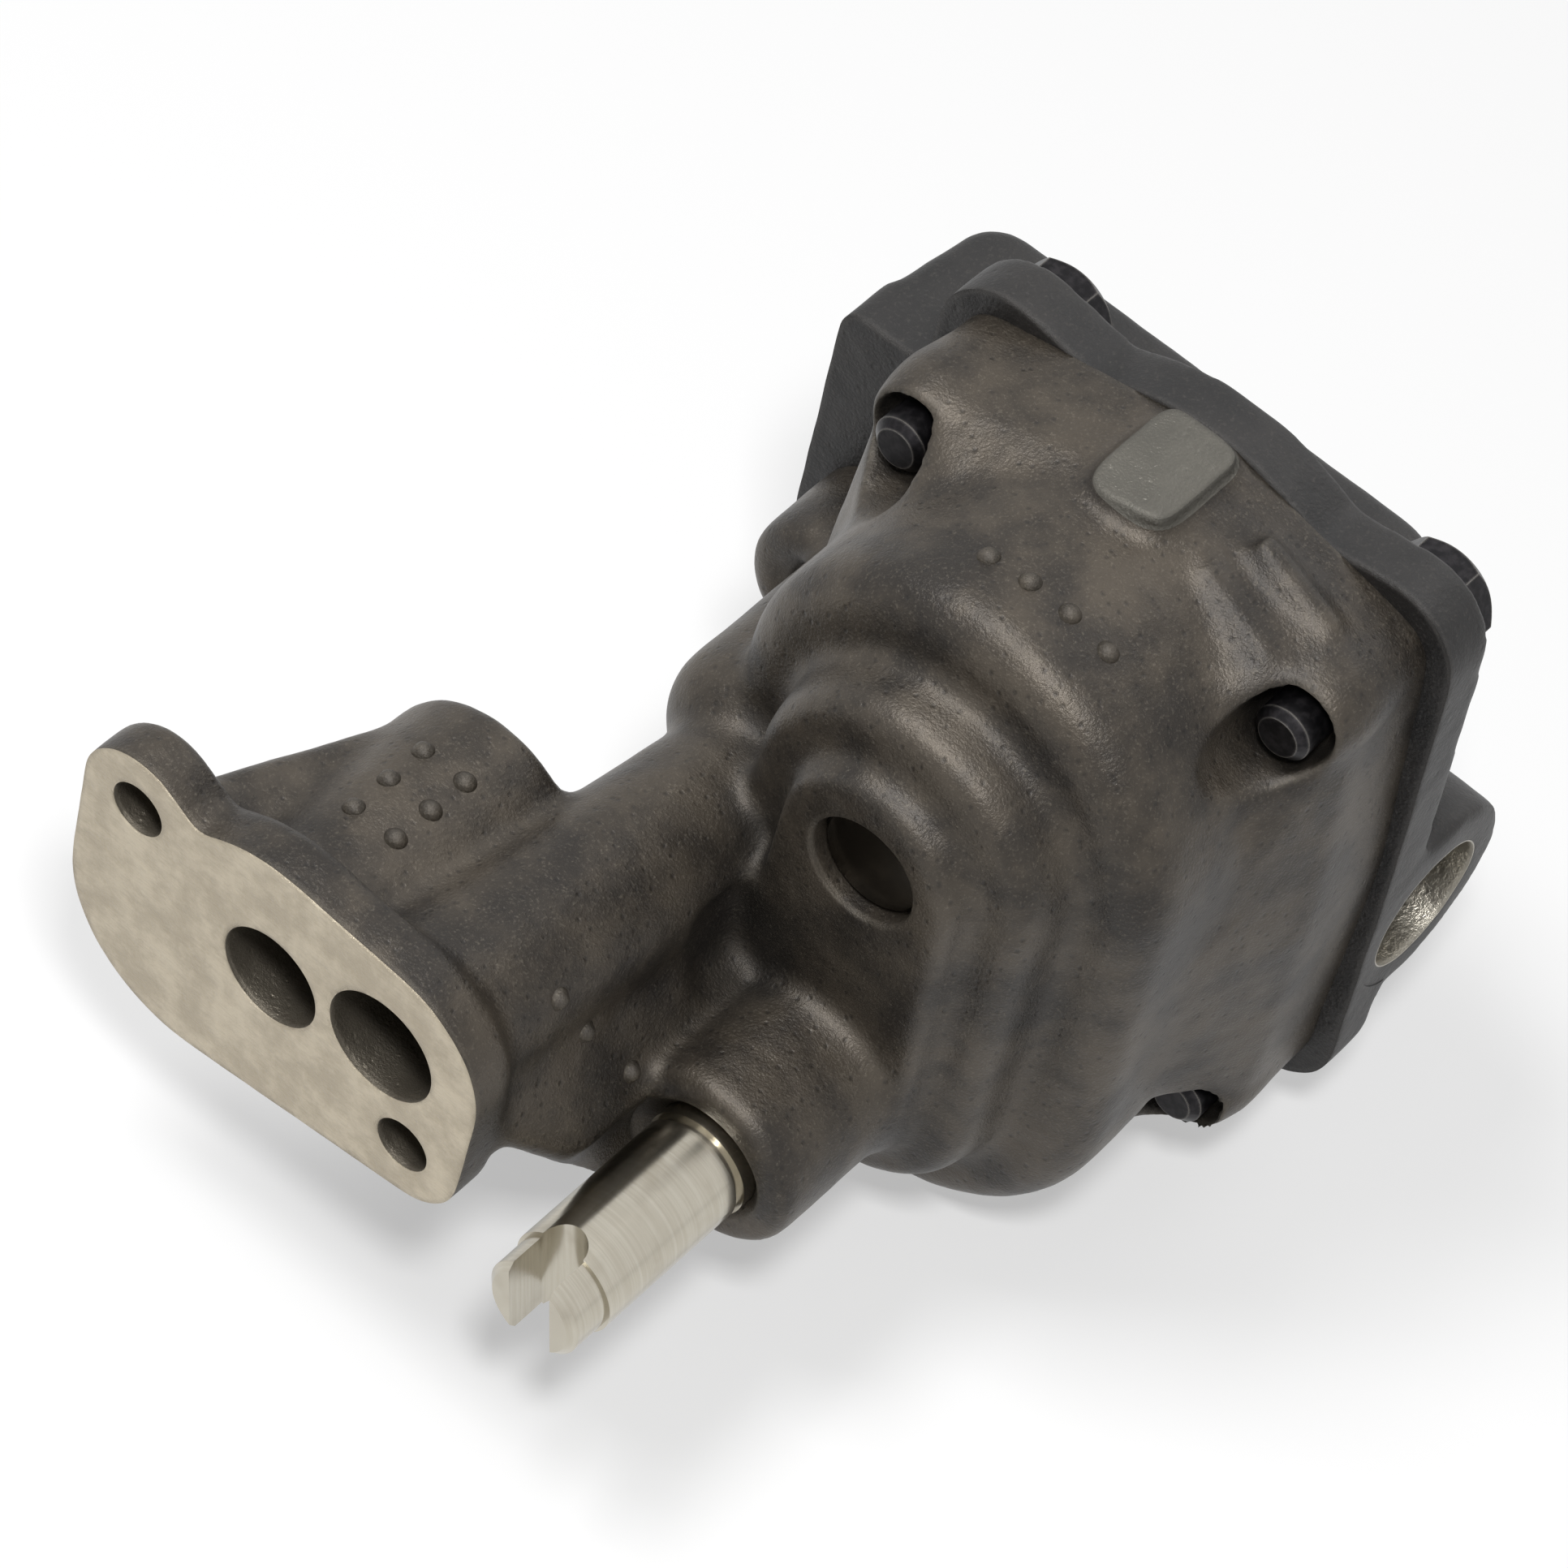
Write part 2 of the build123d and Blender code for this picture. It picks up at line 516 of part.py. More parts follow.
# ---- screws --------------------------------------------------------------------
def screw(place):
    """Hex-head cover screw, its tip standing proud of the body's spot face."""
    seat = SCREW_SEAT_Y + WASHER_THICKNESS
    back = seat + SCREW_HEAD_HEIGHT
    shank = chamfer(front_edges(rod(place, SCREW_R, SCREW_TIP_Y, seat), SCREW_TIP_Y), 0.9)
    head = prism(Pos(*place) * RegularPolygon(SCREW_HEAD_R, 6), seat, back)
    crown = loft([section(back) * disc(place, SCREW_HEAD_R - 0.9),
                  section(seat) * disc(place, SCREW_HEAD_R + 3)])
    return shank + (head & crown)


def lock_washer(place):
    """Split spring washer under a screw's head."""
    back = SCREW_SEAT_Y + WASHER_THICKNESS
    ring = rod(place, WASHER_R, SCREW_SEAT_Y, back) - rod(place, SCREW_R + 0.1, SCREW_SEAT_Y, back)
    x, z = place
    split = Pos(x, (SCREW_SEAT_Y + back) / 2, z + WASHER_R / 2) * Rot(0, 0, 30) * Box(0.8, 6, WASHER_R)
    return ring - split


# ---- relief valve -----------------------------------------------------------------
def along_x(x, y=VALVE_Y, z=VALVE_Z):
    return Pos(x, y, z) * Rot(0, 90, 0)


def relief_valve():
    """Cup-shaped plunger whose skirt takes the end of the spring."""
    plunger = along_x(VALVE_SEAT_X - VALVE_LENGTH / 2) * Cylinder(VALVE_R, VALVE_LENGTH)
    skirt_middle_x = VALVE_SEAT_X - VALVE_LENGTH + VALVE_SKIRT / 2
    hollow = along_x(skirt_middle_x) * Cylinder(VALVE_R - VALVE_WALL, VALVE_SKIRT)
    return plunger - hollow


def spring_ends():
    left = RETAINER_X + RETAINER_R + 0.3
    right = VALVE_SEAT_X - VALVE_LENGTH + VALVE_SKIRT - 0.3
    return left, right


def relief_spring():
    left, right = spring_ends()
    height = right - left - 2 * SPRING_WIRE_R
    helix = Helix(height / SPRING_COILS, height, SPRING_R)
    start = Plane(origin=helix @ 0, z_dir=helix % 0)
    coil = sweep(start * Circle(SPRING_WIRE_R), path=helix)
    return Pos(left + SPRING_WIRE_R, VALVE_Y, VALVE_Z) * Rot(0, 90, 0) * coil


def retaining_pin():
    """The cross pin, pressed up into the tunnel from below, that keeps the spring in."""
    length = RETAINER_TOP_Z - TUNNEL_BOTTOM - 0.5
    return Pos(RETAINER_X, VALVE_Y, RETAINER_TOP_Z) * Cylinder(RETAINER_R, length, align=DOWNWARDS)


# ---- write the pieces -----------------------------------------------------------------
def all_pieces():
    pieces = {
        "pump_body": pump_body(),
        "pump_cover": pump_cover(),
        "drive_shaft": drive_shaft(),
        "drive_gear": gear(DRIVE, DRIVE_SHAFT_R, 0) - gear_pin(),
        "drive_gear_pin": gear_pin(),
        "idler_shaft": idler_shaft(),
        "idler_gear": gear(IDLER, IDLER_SHAFT_R + RUNNING_CLEARANCE, 180 / TEETH),
        "relief_valve": relief_valve(),
        "relief_spring": relief_spring(),
        "relief_retaining_pin": retaining_pin(),
    }
    for name, spot in SCREW_PLACES.items():
        pieces["cover_screw_" + name] = screw(spot)
        pieces["lock_washer_" + name] = lock_washer(spot)
    return pieces


def place(part):
    return Pos(-BOLT_X, 0, -BOLT_Z) * part


os.makedirs("parts", exist_ok=True)
for node, part in all_pieces().items():
    export_step(place(part), "parts/" + node + ".step")
    print(node, round(part.volume, 1), len(part.solids()))
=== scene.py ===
# %% [markdown]
# # An engine oil pump, dressed in the metals it is made of
#
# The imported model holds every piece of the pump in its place. This lesson adds what a solid can't carry:
# the sandy skin of cast iron, the stained sheen of a ground face, polished shaft steel, black oxide on the
# screws, and the light to see them by. Lengths are in metres, and each piece is named for what it does in
# the pump.

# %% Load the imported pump
import json
import math
import bmesh
import bpy
import numpy as np
from mathutils import Matrix, Vector, noise

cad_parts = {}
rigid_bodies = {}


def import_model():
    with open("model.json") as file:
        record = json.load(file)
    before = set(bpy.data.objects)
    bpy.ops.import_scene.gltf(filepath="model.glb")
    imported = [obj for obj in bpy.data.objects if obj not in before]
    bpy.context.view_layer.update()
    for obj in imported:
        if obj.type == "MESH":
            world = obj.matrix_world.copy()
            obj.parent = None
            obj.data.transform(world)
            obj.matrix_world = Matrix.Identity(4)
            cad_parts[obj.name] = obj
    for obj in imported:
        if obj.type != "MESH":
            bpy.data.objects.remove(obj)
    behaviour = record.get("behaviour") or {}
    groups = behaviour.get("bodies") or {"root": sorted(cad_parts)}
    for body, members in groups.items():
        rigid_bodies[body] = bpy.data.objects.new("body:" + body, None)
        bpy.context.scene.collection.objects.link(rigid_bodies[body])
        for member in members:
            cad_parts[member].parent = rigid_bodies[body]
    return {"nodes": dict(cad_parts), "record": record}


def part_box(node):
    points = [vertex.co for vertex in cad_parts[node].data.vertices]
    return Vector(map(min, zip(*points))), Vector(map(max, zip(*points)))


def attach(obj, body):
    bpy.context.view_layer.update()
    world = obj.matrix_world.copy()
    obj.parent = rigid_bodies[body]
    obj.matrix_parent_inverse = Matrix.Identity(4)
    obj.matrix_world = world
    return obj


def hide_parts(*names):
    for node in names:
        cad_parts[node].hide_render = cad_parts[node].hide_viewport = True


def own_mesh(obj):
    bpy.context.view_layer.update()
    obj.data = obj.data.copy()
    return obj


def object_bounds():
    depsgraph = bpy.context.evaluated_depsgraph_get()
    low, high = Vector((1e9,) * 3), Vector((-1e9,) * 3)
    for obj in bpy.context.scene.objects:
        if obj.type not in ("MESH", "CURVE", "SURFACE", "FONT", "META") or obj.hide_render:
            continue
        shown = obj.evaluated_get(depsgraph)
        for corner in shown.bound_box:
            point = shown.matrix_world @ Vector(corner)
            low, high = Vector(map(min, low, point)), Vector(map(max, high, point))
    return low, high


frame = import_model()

MM = 0.001
cad_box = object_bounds()

# %% [markdown]
# ## Writing node trees as sums
#
# A procedural finish is mostly arithmetic on textures: a paler colour where this noise is high, none of it
# on that face. It could be wired by hand in the shader editor, but a page of links hides the idea. Here one
# small class wraps a socket, so that `1 - mask` or `grain * 0.3` adds the right Math node by itself, and a
# second class adds any other node from its type, its settings and what goes into its sockets.

# %% A socket that does arithmetic
class Signal:
    """A value that changes over a surface, used in a sum as if it were a plain number."""

    def __init__(self, recipe, socket):
        self.recipe, self.socket = recipe, socket

    def sum(self, operation, first, second):
        return self.recipe.node("ShaderNodeMath", {"operation": operation}, {0: first, 1: second})

    def __add__(self, other):
        return self.sum("ADD", self, other)

    def __mul__(self, other):
        return self.sum("MULTIPLY", self, other)

    def __sub__(self, other):
        return self.sum("SUBTRACT", self, other)

    def __rsub__(self, other):
        return self.sum("SUBTRACT", other, self)

    def __pow__(self, other):
        return self.sum("POWER", self, other)

    def __lt__(self, other):
        return self.sum("LESS_THAN", self, other)

    def __gt__(self, other):
        return self.sum("GREATER_THAN", self, other)

    def __or__(self, other):
        return self.sum("MAXIMUM", self, other)

    __radd__, __rmul__ = __add__, __mul__


# %% A node tree that takes any node in one call
class Recipe:
    """A node tree while it is being written."""

    def __init__(self, tree):
        self.nodes, self.links = tree.nodes, tree.links

    def node(self, kind, settings=None, values=None, output=0):
        """Add a node: its settings come first, because they can change which sockets it has."""
        made = self.nodes.new(kind)
        for name, setting in (settings or {}).items():
            setattr(made, name, setting)
        for key, value in (values or {}).items():
            self.feed(made.inputs[key], value)
        return Signal(self, made.outputs[output])

    def feed(self, socket, value):
        if isinstance(value, Signal):
            self.links.new(value.socket, socket)
        else:
            socket.default_value = value


def paint(red, green, blue):
    """A colour as a paint chart gives it, 0 to 255, turned into the linear light that nodes work in."""
    def linear(part):
        part /= 255
        return part / 12.92 if part <= 0.04045 else ((part + 0.055) / 1.055) ** 2.4
    return (linear(red), linear(green), linear(blue), 1.0)


print("mid grey 128 is", round(paint(128, 128, 128)[0], 3), "in linear light")

# %% [markdown]
# ## A finish and its textures
#
# Every metal here is the Principled shader with a few textures in front of it. Image textures would need
# each piece unwrapped, so these are worked out instead, and placed by the object's own coordinates. Those
# ride along when a shaft turns, and are real metres, so a sand grain can be asked for by its size.

# %% The finish class
class Finish(Recipe):
    """One metal: the Principled shader, and the textures that feed it."""

    def __init__(self, name):
        self.material = bpy.data.materials.new(name)
        self.material.use_nodes = True
        super().__init__(self.material.node_tree)
        self.shader = self.nodes["Principled BSDF"]
        self.place = self.node("ShaderNodeTexCoord", output="Object")

    def along(self, axis):
        return self.node("ShaderNodeSeparateXYZ", None, {0: self.place}, axis)

    def stretched(self, x, y, z):
        """The place, squeezed or drawn out along each axis, for marks that run one way."""
        factors = {0: self.place, 1: (x, y, z)}
        return self.node("ShaderNodeVectorMath", {"operation": "MULTIPLY"}, factors)

    def noise(self, size, detail=2.0, roughness=0.5, at=None):
        """Soft random grain with features about `size` metres across."""
        values = {"Vector": at or self.place, "Scale": 1 / size, "Detail": detail, "Roughness": roughness}
        return self.node("ShaderNodeTexNoise", None, values, "Fac")

    def pits(self, size, at=None):
        """Distance from scattered points about `size` metres apart: 0 in the middle of each pit."""
        values = {"Vector": at or self.place, "Scale": 1 / size}
        return self.node("ShaderNodeTexVoronoi", None, values, "Distance")

    def fade(self, value, start, end):
        """0 at start and 1 at end, with a soft shoulder at both."""
        values = {"Value": value, "From Min": start, "From Max": end}
        return self.node("ShaderNodeMapRange", {"interpolation_type": "SMOOTHSTEP"}, values)

    def tint(self, amount, under, over):
        """The colour under, going over to the colour over as amount rises."""
        return self.node("ShaderNodeMix", {"data_type": "RGBA"}, {0: amount, 6: under, 7: over}, 2)

    def relief(self, height, depth, under=None):
        """Shallow bumps: depth is the real height in metres between height 0 and height 1."""
        values = {"Height": height, "Distance": depth}
        if under:
            values["Normal"] = under
        return self.node("ShaderNodeBump", None, values, "Normal")

    def hollows(self, reach):
        """1 in tight corners and 0 in the open, from how much of the sky within reach each point sees."""
        settings = {"only_local": True, "samples": 4}
        open_sky = self.node("ShaderNodeAmbientOcclusion", settings, {"Distance": reach}, "AO")
        return 1 - open_sky

    def rounded(self, radius):
        """The way the surface would face if its edges were rounded to this radius."""
        return self.node("ShaderNodeBevel", {"samples": 3}, {"Radius": radius})

    def edges(self, rounded):
        """1 on sharp edges, where the rounded surface faces another way than the true one does."""
        plain = self.node("ShaderNodeNewGeometry", output="Normal")
        pair = {0: rounded, 1: plain}
        same = self.node("ShaderNodeVectorMath", {"operation": "DOT_PRODUCT"}, pair, "Value")
        return self.fade(same, 0.995, 0.90)

    def set(self, **values):
        """Feed the shader's sockets, such as base_color=... or roughness=..."""
        for name, value in values.items():
            self.feed(self.shader.inputs[name.replace("_", " ").title()], value)
        return self.material


print("a finish has", len(Finish("finish_trial").shader.inputs), "shader sockets to feed")
bpy.data.materials.remove(bpy.data.materials["finish_trial"])

# %% [markdown]
# ## Where the casting was machined
#
# A foundry leaves the whole body rough, and the machine shop then touches only what has to fit: the
# mounting face, the holes, and one small clamping pad on top. Those places could be separate objects with
# their own metal, but then the seam would have to be cut into the mesh. A mask is simpler: the record says
# where each hole is and how deep, so "near that axis and not deeper than that" is enough to tell bright
# metal from rough.

# %% Masks for the mounting face, the bores and the clamping pad
MOUNTS = {mount["name"]: mount for mount in frame["record"]["mounts"]}
MACHINED_HOLES = ["mounting_bolt_hole", "locating_hole_upper", "locating_hole_lower", "oil_outlet"]
WALL_SLACK = 0.15 * MM
FACE_SLACK = 0.05 * MM
PAD_OFFSET_X = 0.8 * MM
PAD_HALF_WIDTH = 6.5 * MM
PAD_FRONT_Y = 68 * MM
PAD_SLOPE_DROP = 1.45 * MM
pad_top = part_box("pump_body")[1][2]
pad_middle_x = MOUNTS["drive_shaft_end"]["pos_m"][0] - PAD_OFFSET_X


def hole_size(name):
    """Radius and depth of a mount's hole, in metres."""
    dims = MOUNTS[name]["dims"]
    return dims["r_mm"] * MM, dims["length_mm"] * MM


def hole_wall(iron, name):
    """1 on the wall of a hole that runs back from the mounting face."""
    axis = MOUNTS[name]["pos_m"]
    radius, depth = hole_size(name)
    across = iron.along("X") - axis[0]
    up = iron.along("Z") - axis[2]
    from_axis = (across * across + up * up) ** 0.5
    return (from_axis < radius + WALL_SLACK) * (iron.along("Y") < depth)


def mounting_face(iron):
    return iron.along("Y") < FACE_SLACK


def clamping_pad(iron):
    from_middle = iron.along("X") - pad_middle_x
    near = (from_middle * from_middle < PAD_HALF_WIDTH ** 2) * (iron.along("Y") > PAD_FRONT_Y)
    return (iron.along("Z") > pad_top - PAD_SLOPE_DROP) * near


def hole_walls(iron):
    mask = hole_wall(iron, MACHINED_HOLES[0])
    for name in MACHINED_HOLES[1:]:
        mask = mask | hole_wall(iron, name)
    return mask


print("clamping pad at", round(pad_top / MM, 1), "mm, machined holes:", len(MACHINED_HOLES))

# %% [markdown]
# ## Cast iron
#
# Sand-cast iron is dark grey-brown. Its skin copies the sand mould: grains a third of a millimetre across,
# a few deeper pits, and slow waves where the sand gave way. The corners are painted near black, partly as oil
# grime and partly as painted shade, and handling rubs the edges paler. One function mixes these, so the body
# and the cover, which came from different moulds, differ only in a few numbers. Grain this fine would take
# millions of faces as geometry, so here bumps in the shader carry it.

# %% The casting skin
def casting_skin(iron, grain, dark, pale, rubbed):
    """Colour, roughness and bumps of an as-cast surface, with painted shade in its corners."""
    sand = iron.noise(grain, detail=2.5, roughness=0.65)
    clouds = iron.noise(11 * MM, detail=5.0, roughness=0.6)
    waves = iron.noise(3.5 * MM, detail=1.0)
    pits = iron.pits(4 * grain, at=iron.stretched(1.0, 1.0, 0.8))
    corners = iron.fade(iron.hollows(9 * MM), 0.15, 0.75)
    rounded = iron.rounded(1.1 * MM)
    colour = iron.tint(iron.fade(clouds, 0.34, 0.66), dark, pale)
    colour = iron.tint(iron.fade(sand, 0.52, 0.80) * 0.22, colour, rubbed)
    colour = iron.tint(iron.fade(pits, 0.30, 0.05) * 0.5, colour, paint(22, 20, 19))
    colour = iron.tint(iron.edges(rounded) * 0.25, colour, rubbed)
    # Painted shade: corners that see little open sky go near black, partly as oil grime and partly as painted
    # shade.
    colour = iron.tint(corners * 0.85, colour, paint(14, 13, 12))
    roughness = 0.30 + 0.20 * sand + 0.25 * corners
    bumps = iron.relief(waves, 0.20 * MM, rounded)
    bumps = iron.relief(sand, 0.09 * MM, bumps)
    bumps = iron.relief(iron.fade(pits, 0.0, 0.30), 0.05 * MM, bumps)
    return colour, roughness, bumps


print("casting skin: sand, clouds, waves, pits, corners and rubbed edges")

# %% The pump body's iron, with its machined places
BODY_GRAIN = 0.34 * MM
BODY_IRON_COLOURS = (paint(40, 36, 32), paint(74, 67, 58), paint(150, 142, 128))
BODY_SHEEN = 0.45
body_iron = Finish("cast_iron_with_ground_faces")
skin_colour, skin_roughness, skin_bumps = casting_skin(body_iron, BODY_GRAIN, *BODY_IRON_COLOURS)
face = mounting_face(body_iron)
pad = clamping_pad(body_iron)
walls = hole_walls(body_iron)
machined = face | pad | walls
stains = body_iron.noise(7 * MM, detail=6.0, roughness=0.7)
scratches = body_iron.noise(0.5 * MM, detail=2.0, at=body_iron.stretched(0.25, 1.0, 2.2))
stained = body_iron.fade(stains, 0.38, 0.64)
ground = body_iron.tint(stained, paint(168, 157, 137), paint(192, 181, 160))
scratched = body_iron.fade(scratches, 0.45, 0.75) * 0.25
ground = body_iron.tint(scratched, ground, paint(140, 130, 112))
ground = body_iron.tint(pad * 0.9, ground, paint(76, 76, 73))
# Painted shade: the walls of the machined holes are painted much darker than the ground face, for the shade
# inside them.
ground = body_iron.tint(walls * (1 - face) * 0.8, ground, paint(74, 70, 64))
cast_iron_body = body_iron.set(
    base_color=body_iron.tint(machined, skin_colour, ground),
    roughness=skin_roughness + machined * (0.36 - skin_roughness),
    metallic=BODY_SHEEN + machined * 0.2,
    normal=skin_bumps)
print("body iron uses", len(body_iron.nodes), "nodes")

# %% The cover's darker, coarser iron, with the bright seat of the pickup tube
COVER_GRAIN = 0.42 * MM
COVER_IRON_COLOURS = (paint(14, 13, 13), paint(31, 29, 28), paint(100, 95, 90))
inlet_face = Vector(MOUNTS["pickup_inlet"]["pos_m"])
inlet_r, inlet_depth = hole_size("pickup_inlet")
cover_iron = Finish("cast_iron_cover")
skin_colour, skin_roughness, skin_bumps = casting_skin(cover_iron, COVER_GRAIN, *COVER_IRON_COLOURS)
across = cover_iron.along("Y") - inlet_face.y
up = cover_iron.along("Z") - inlet_face.z
near_axis = (across * across + up * up) ** 0.5 < inlet_r + WALL_SLACK
seat = near_axis * (cover_iron.along("X") > inlet_face.x - inlet_depth)
cast_iron_cover = cover_iron.set(
    base_color=cover_iron.tint(seat, skin_colour, paint(168, 163, 152)),
    roughness=skin_roughness + 0.10 - seat * 0.15,
    metallic=0.15 + seat * 0.75,
    normal=skin_bumps)
print("cover iron uses", len(cover_iron.nodes), "nodes")

# %% [markdown]
# ## Steel: ground, cut, drawn and blackened
#
# The shafts are ground round, so their marks are fine rings about the shaft, much closer along it than
# around it. Gear flanks are cut along the teeth, and spring wire is drawn to an even satin. The idler
# shaft's end sits in old oil, so it is darker. A stretched noise gives all four, which saves a texture for
# each. The screws are blackened, and the black is worn to steel on the corners of the heads.

# %% Ground shaft steel
RINGS = (60, 2600, 60)
TOOTH_LINES = (900, 120, 900)
SATIN = (300, 300, 300)


def shaft_steel(name, marks, dull=paint(180, 174, 160), bright=paint(190, 185, 172)):
    """Bright steel whose marks are packed this closely along x, y and z, in marks a metre."""
    steel = Finish(name)
    rings = steel.noise(1.0, detail=3.0, roughness=0.7, at=steel.stretched(*marks))
    haze = steel.noise(5 * MM, detail=3.0)
    colour = steel.tint(steel.fade(rings, 0.35, 0.7), dull, bright)
    colour = steel.tint(steel.fade(haze, 0.5, 0.8) * 0.35, colour, paint(140, 130, 112))
    return steel.set(base_color=colour, roughness=0.16 + 0.10 * haze, metallic=1.0,
                     normal=steel.relief(rings, 0.0006 * MM))


ground_steel = shaft_steel("ground_steel", RINGS)
gear_steel = shaft_steel("gear_steel", TOOTH_LINES)
spring_steel = shaft_steel("spring_steel", SATIN)
oily_steel = shaft_steel("oily_steel", RINGS, paint(66, 62, 56), paint(84, 79, 71))
print("steels made: ground, gear, spring and oily")

# %% Blackened screw steel
def blackened():
    black = Finish("black_screw_steel")
    mottle = black.noise(0.9 * MM, detail=4.0)
    colour = black.tint(black.fade(mottle, 0.4, 0.7), paint(26, 25, 27), paint(44, 42, 44))
    colour = black.tint(black.edges(black.rounded(0.35 * MM)) * 0.6, colour, paint(150, 146, 140))
    return black.set(base_color=colour, roughness=0.30 + 0.18 * mottle, metallic=0.8,
                     normal=black.relief(mottle, 0.02 * MM))


black_screw_steel = blackened()
print("black oxide made")

# %% Give every piece its metal
FINISHES = {
    "pump_body": cast_iron_body,
    "pump_cover": cast_iron_cover,
    "drive_shaft": ground_steel,
    "idler_shaft": oily_steel,
    "drive_gear_pin": ground_steel,
    "relief_retaining_pin": ground_steel,
    "relief_valve": ground_steel,
    "drive_gear": gear_steel,
    "idler_gear": gear_steel,
    "relief_spring": spring_steel,
}
for name, piece in frame["nodes"].items():
    metal = FINISHES.get(name, black_screw_steel)
    piece.data.materials.clear()
    piece.data.materials.append(metal)
print("pieces dressed:", len(frame["nodes"]))

# %% [markdown]
# ## Cast first, machine after
#
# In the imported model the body's and the cover's forms meet at sharp lines. Iron can't be poured like that:
# the pattern has fillets in its corners, and its edges are worn round. A Bevel modifier rounds single
# edges, but here dozens of drafted forms run into each other. So this part works as the foundry and then
# the machine shop do. The holes are plugged and the machined faces stand out a little too far. The whole is
# melted into an even skin of small faces, which relaxes until its corners fill. Only then are the faces and
# holes cut to size, with crisp edges.

# %% Bars and blocks, to plug with and to cut with
BAR_SIDES = 96


def bar(start, end, radius, end_radius=None):
    """A round bar between two points, or a cone where the end has its own radius."""
    start, end = Vector(start), Vector(end)
    run = end - start
    turned = run.to_track_quat("Z", "Y").to_matrix().to_4x4()
    shape = bmesh.new()
    bmesh.ops.create_cone(
        shape, cap_ends=True, segments=BAR_SIDES, depth=run.length,
        radius1=radius, radius2=radius if end_radius is None else end_radius,
        matrix=Matrix.Translation((start + end) / 2) @ turned)
    return shape


def block(low, high, turned=Matrix()):
    """A box between its lowest and highest corner, then turned and moved as a whole."""
    low, high = Vector(low), Vector(high)
    sized = Matrix.Translation((low + high) / 2) @ Matrix.Diagonal((*(high - low), 1))
    shape = bmesh.new()
    bmesh.ops.create_cube(shape, size=1.0, matrix=turned @ sized)
    return shape


def as_object(name, shape):
    """Put a finished shape into the scene."""
    mesh = bpy.data.meshes.new(name)
    shape.to_mesh(mesh)
    shape.free()
    made = bpy.data.objects.new(name, mesh)
    bpy.context.collection.objects.link(made)
    return made


def after_modifiers(made):
    """The mesh that an object shows once its modifiers have run; the object itself is removed."""
    ready = made.evaluated_get(bpy.context.evaluated_depsgraph_get())
    mesh = bpy.data.meshes.new_from_object(ready)
    bpy.data.objects.remove(made)
    return mesh


def after_cutting(mesh, cutters):
    """A new object: the mesh cut with a whole set of tools at once."""
    tools = bpy.data.collections.new("tools")
    for number, cutter in enumerate(cutters):
        tool = as_object(f"tool_{number}", cutter)
        bpy.context.collection.objects.unlink(tool)
        tools.objects.link(tool)
    bpy.context.scene.collection.children.link(tools)
    uncut = bpy.data.objects.new("uncut", mesh)
    bpy.context.collection.objects.link(uncut)
    cut = uncut.modifiers.new("cutting", "BOOLEAN")
    cut.operation = "DIFFERENCE"
    cut.solver = "MANIFOLD"
    cut.operand_type = "COLLECTION"
    cut.collection = tools
    made = bpy.data.objects.new("cut", after_modifiers(uncut))
    bpy.context.collection.objects.link(made)
    for tool in list(tools.objects):
        bpy.data.objects.remove(tool)
    bpy.data.collections.remove(tools)
    return made


print("bars have", BAR_SIDES, "sides")

# %% Melt a piece and its plugs into one even skin
SKIN = 0.65 * MM
ALLOWANCE = 2.0 * MM


def even_skin(solid):
    """Melt an object into faces of one size; hollows that no opening reaches are lost."""
    skin = solid.modifiers.new("skin", "REMESH")
    skin.mode = "VOXEL"
    skin.voxel_size = SKIN
    return after_modifiers(solid)


def melted(node, machined_levels, plugs):
    """A skin of even small faces round a CAD piece whose holes are plugged.

    Each machined level is a test that picks points of the piece, and the way they are moved out.
    """
    whole = bmesh.new()
    whole.from_mesh(frame["nodes"][node].data)
    for picks, outward in machined_levels:
        for point in whole.verts:
            if picks(point.co):
                point.co += Vector(outward) * ALLOWANCE
    for plug in plugs:
        passing = bpy.data.meshes.new("plug")
        plug.to_mesh(passing)
        plug.free()
        whole.from_mesh(passing)
        bpy.data.meshes.remove(passing)
    return even_skin(as_object(node + "_melted", whole))


print("skin faces are", SKIN / MM, "mm across")

# %% Let a skin relax
def numbers(items, what, width, kind):
    """One property of many mesh elements as rows of numbers."""
    row = np.empty(len(items) * width, kind)
    items.foreach_get(what, row)
    return row.reshape(-1, width)


def relax(mesh, rounds, wear=1.0):
    """Pull points towards their neighbours: corners fill, and edges go back by the share wear gives."""
    links = numbers(mesh.edges, "vertices", 2, np.int32)
    links = np.concatenate([links, links[:, ::-1]])
    start = numbers(mesh.vertices, "co", 3, np.float32).astype(float)
    facing = numbers(mesh.vertices, "normal", 3, np.float32)
    count = np.bincount(links[:, 0], minlength=len(start))[:, None]
    place = start
    for _ in range(rounds):
        sums = [np.bincount(links[:, 0], place[links[:, 1], axis], len(start)) for axis in range(3)]
        place = (place + np.stack(sums, 1) / count) / 2
    rise = ((place - start) * facing).sum(1, keepdims=True)
    if wear < 1:
        place = start + facing * np.where(rise > 0, rise, rise * wear)
    mesh.vertices.foreach_set("co", place.astype(np.float32).ravel())
    mesh.update()


print("a skin relaxes in rounds, each worked out for all its points at once")

# %% Sink waves into a skin
WAVE_SIZE = 5.5 * MM
WAVE_DEPTH = 0.16 * MM
RIPPLE_SHARE = 0.4
RIPPLES_PER_WAVE = 2.5


def sink_waves(mesh):
    """Sink slow shallow waves into a skin, where the sand gave way; nothing is raised above it."""
    places = numbers(mesh.vertices, "co", 3, np.float32)
    facing = numbers(mesh.vertices, "normal", 3, np.float32)
    waves = []
    for place in map(Vector, places / WAVE_SIZE):
        ripple = noise.noise(RIPPLES_PER_WAVE * place)
        waves.append(noise.noise(place) + RIPPLE_SHARE * ripple - (1 + RIPPLE_SHARE))
    places += facing * (np.array(waves, np.float32) * WAVE_DEPTH / 2)[:, None]
    mesh.vertices.foreach_set("co", places.ravel())
    mesh.update()


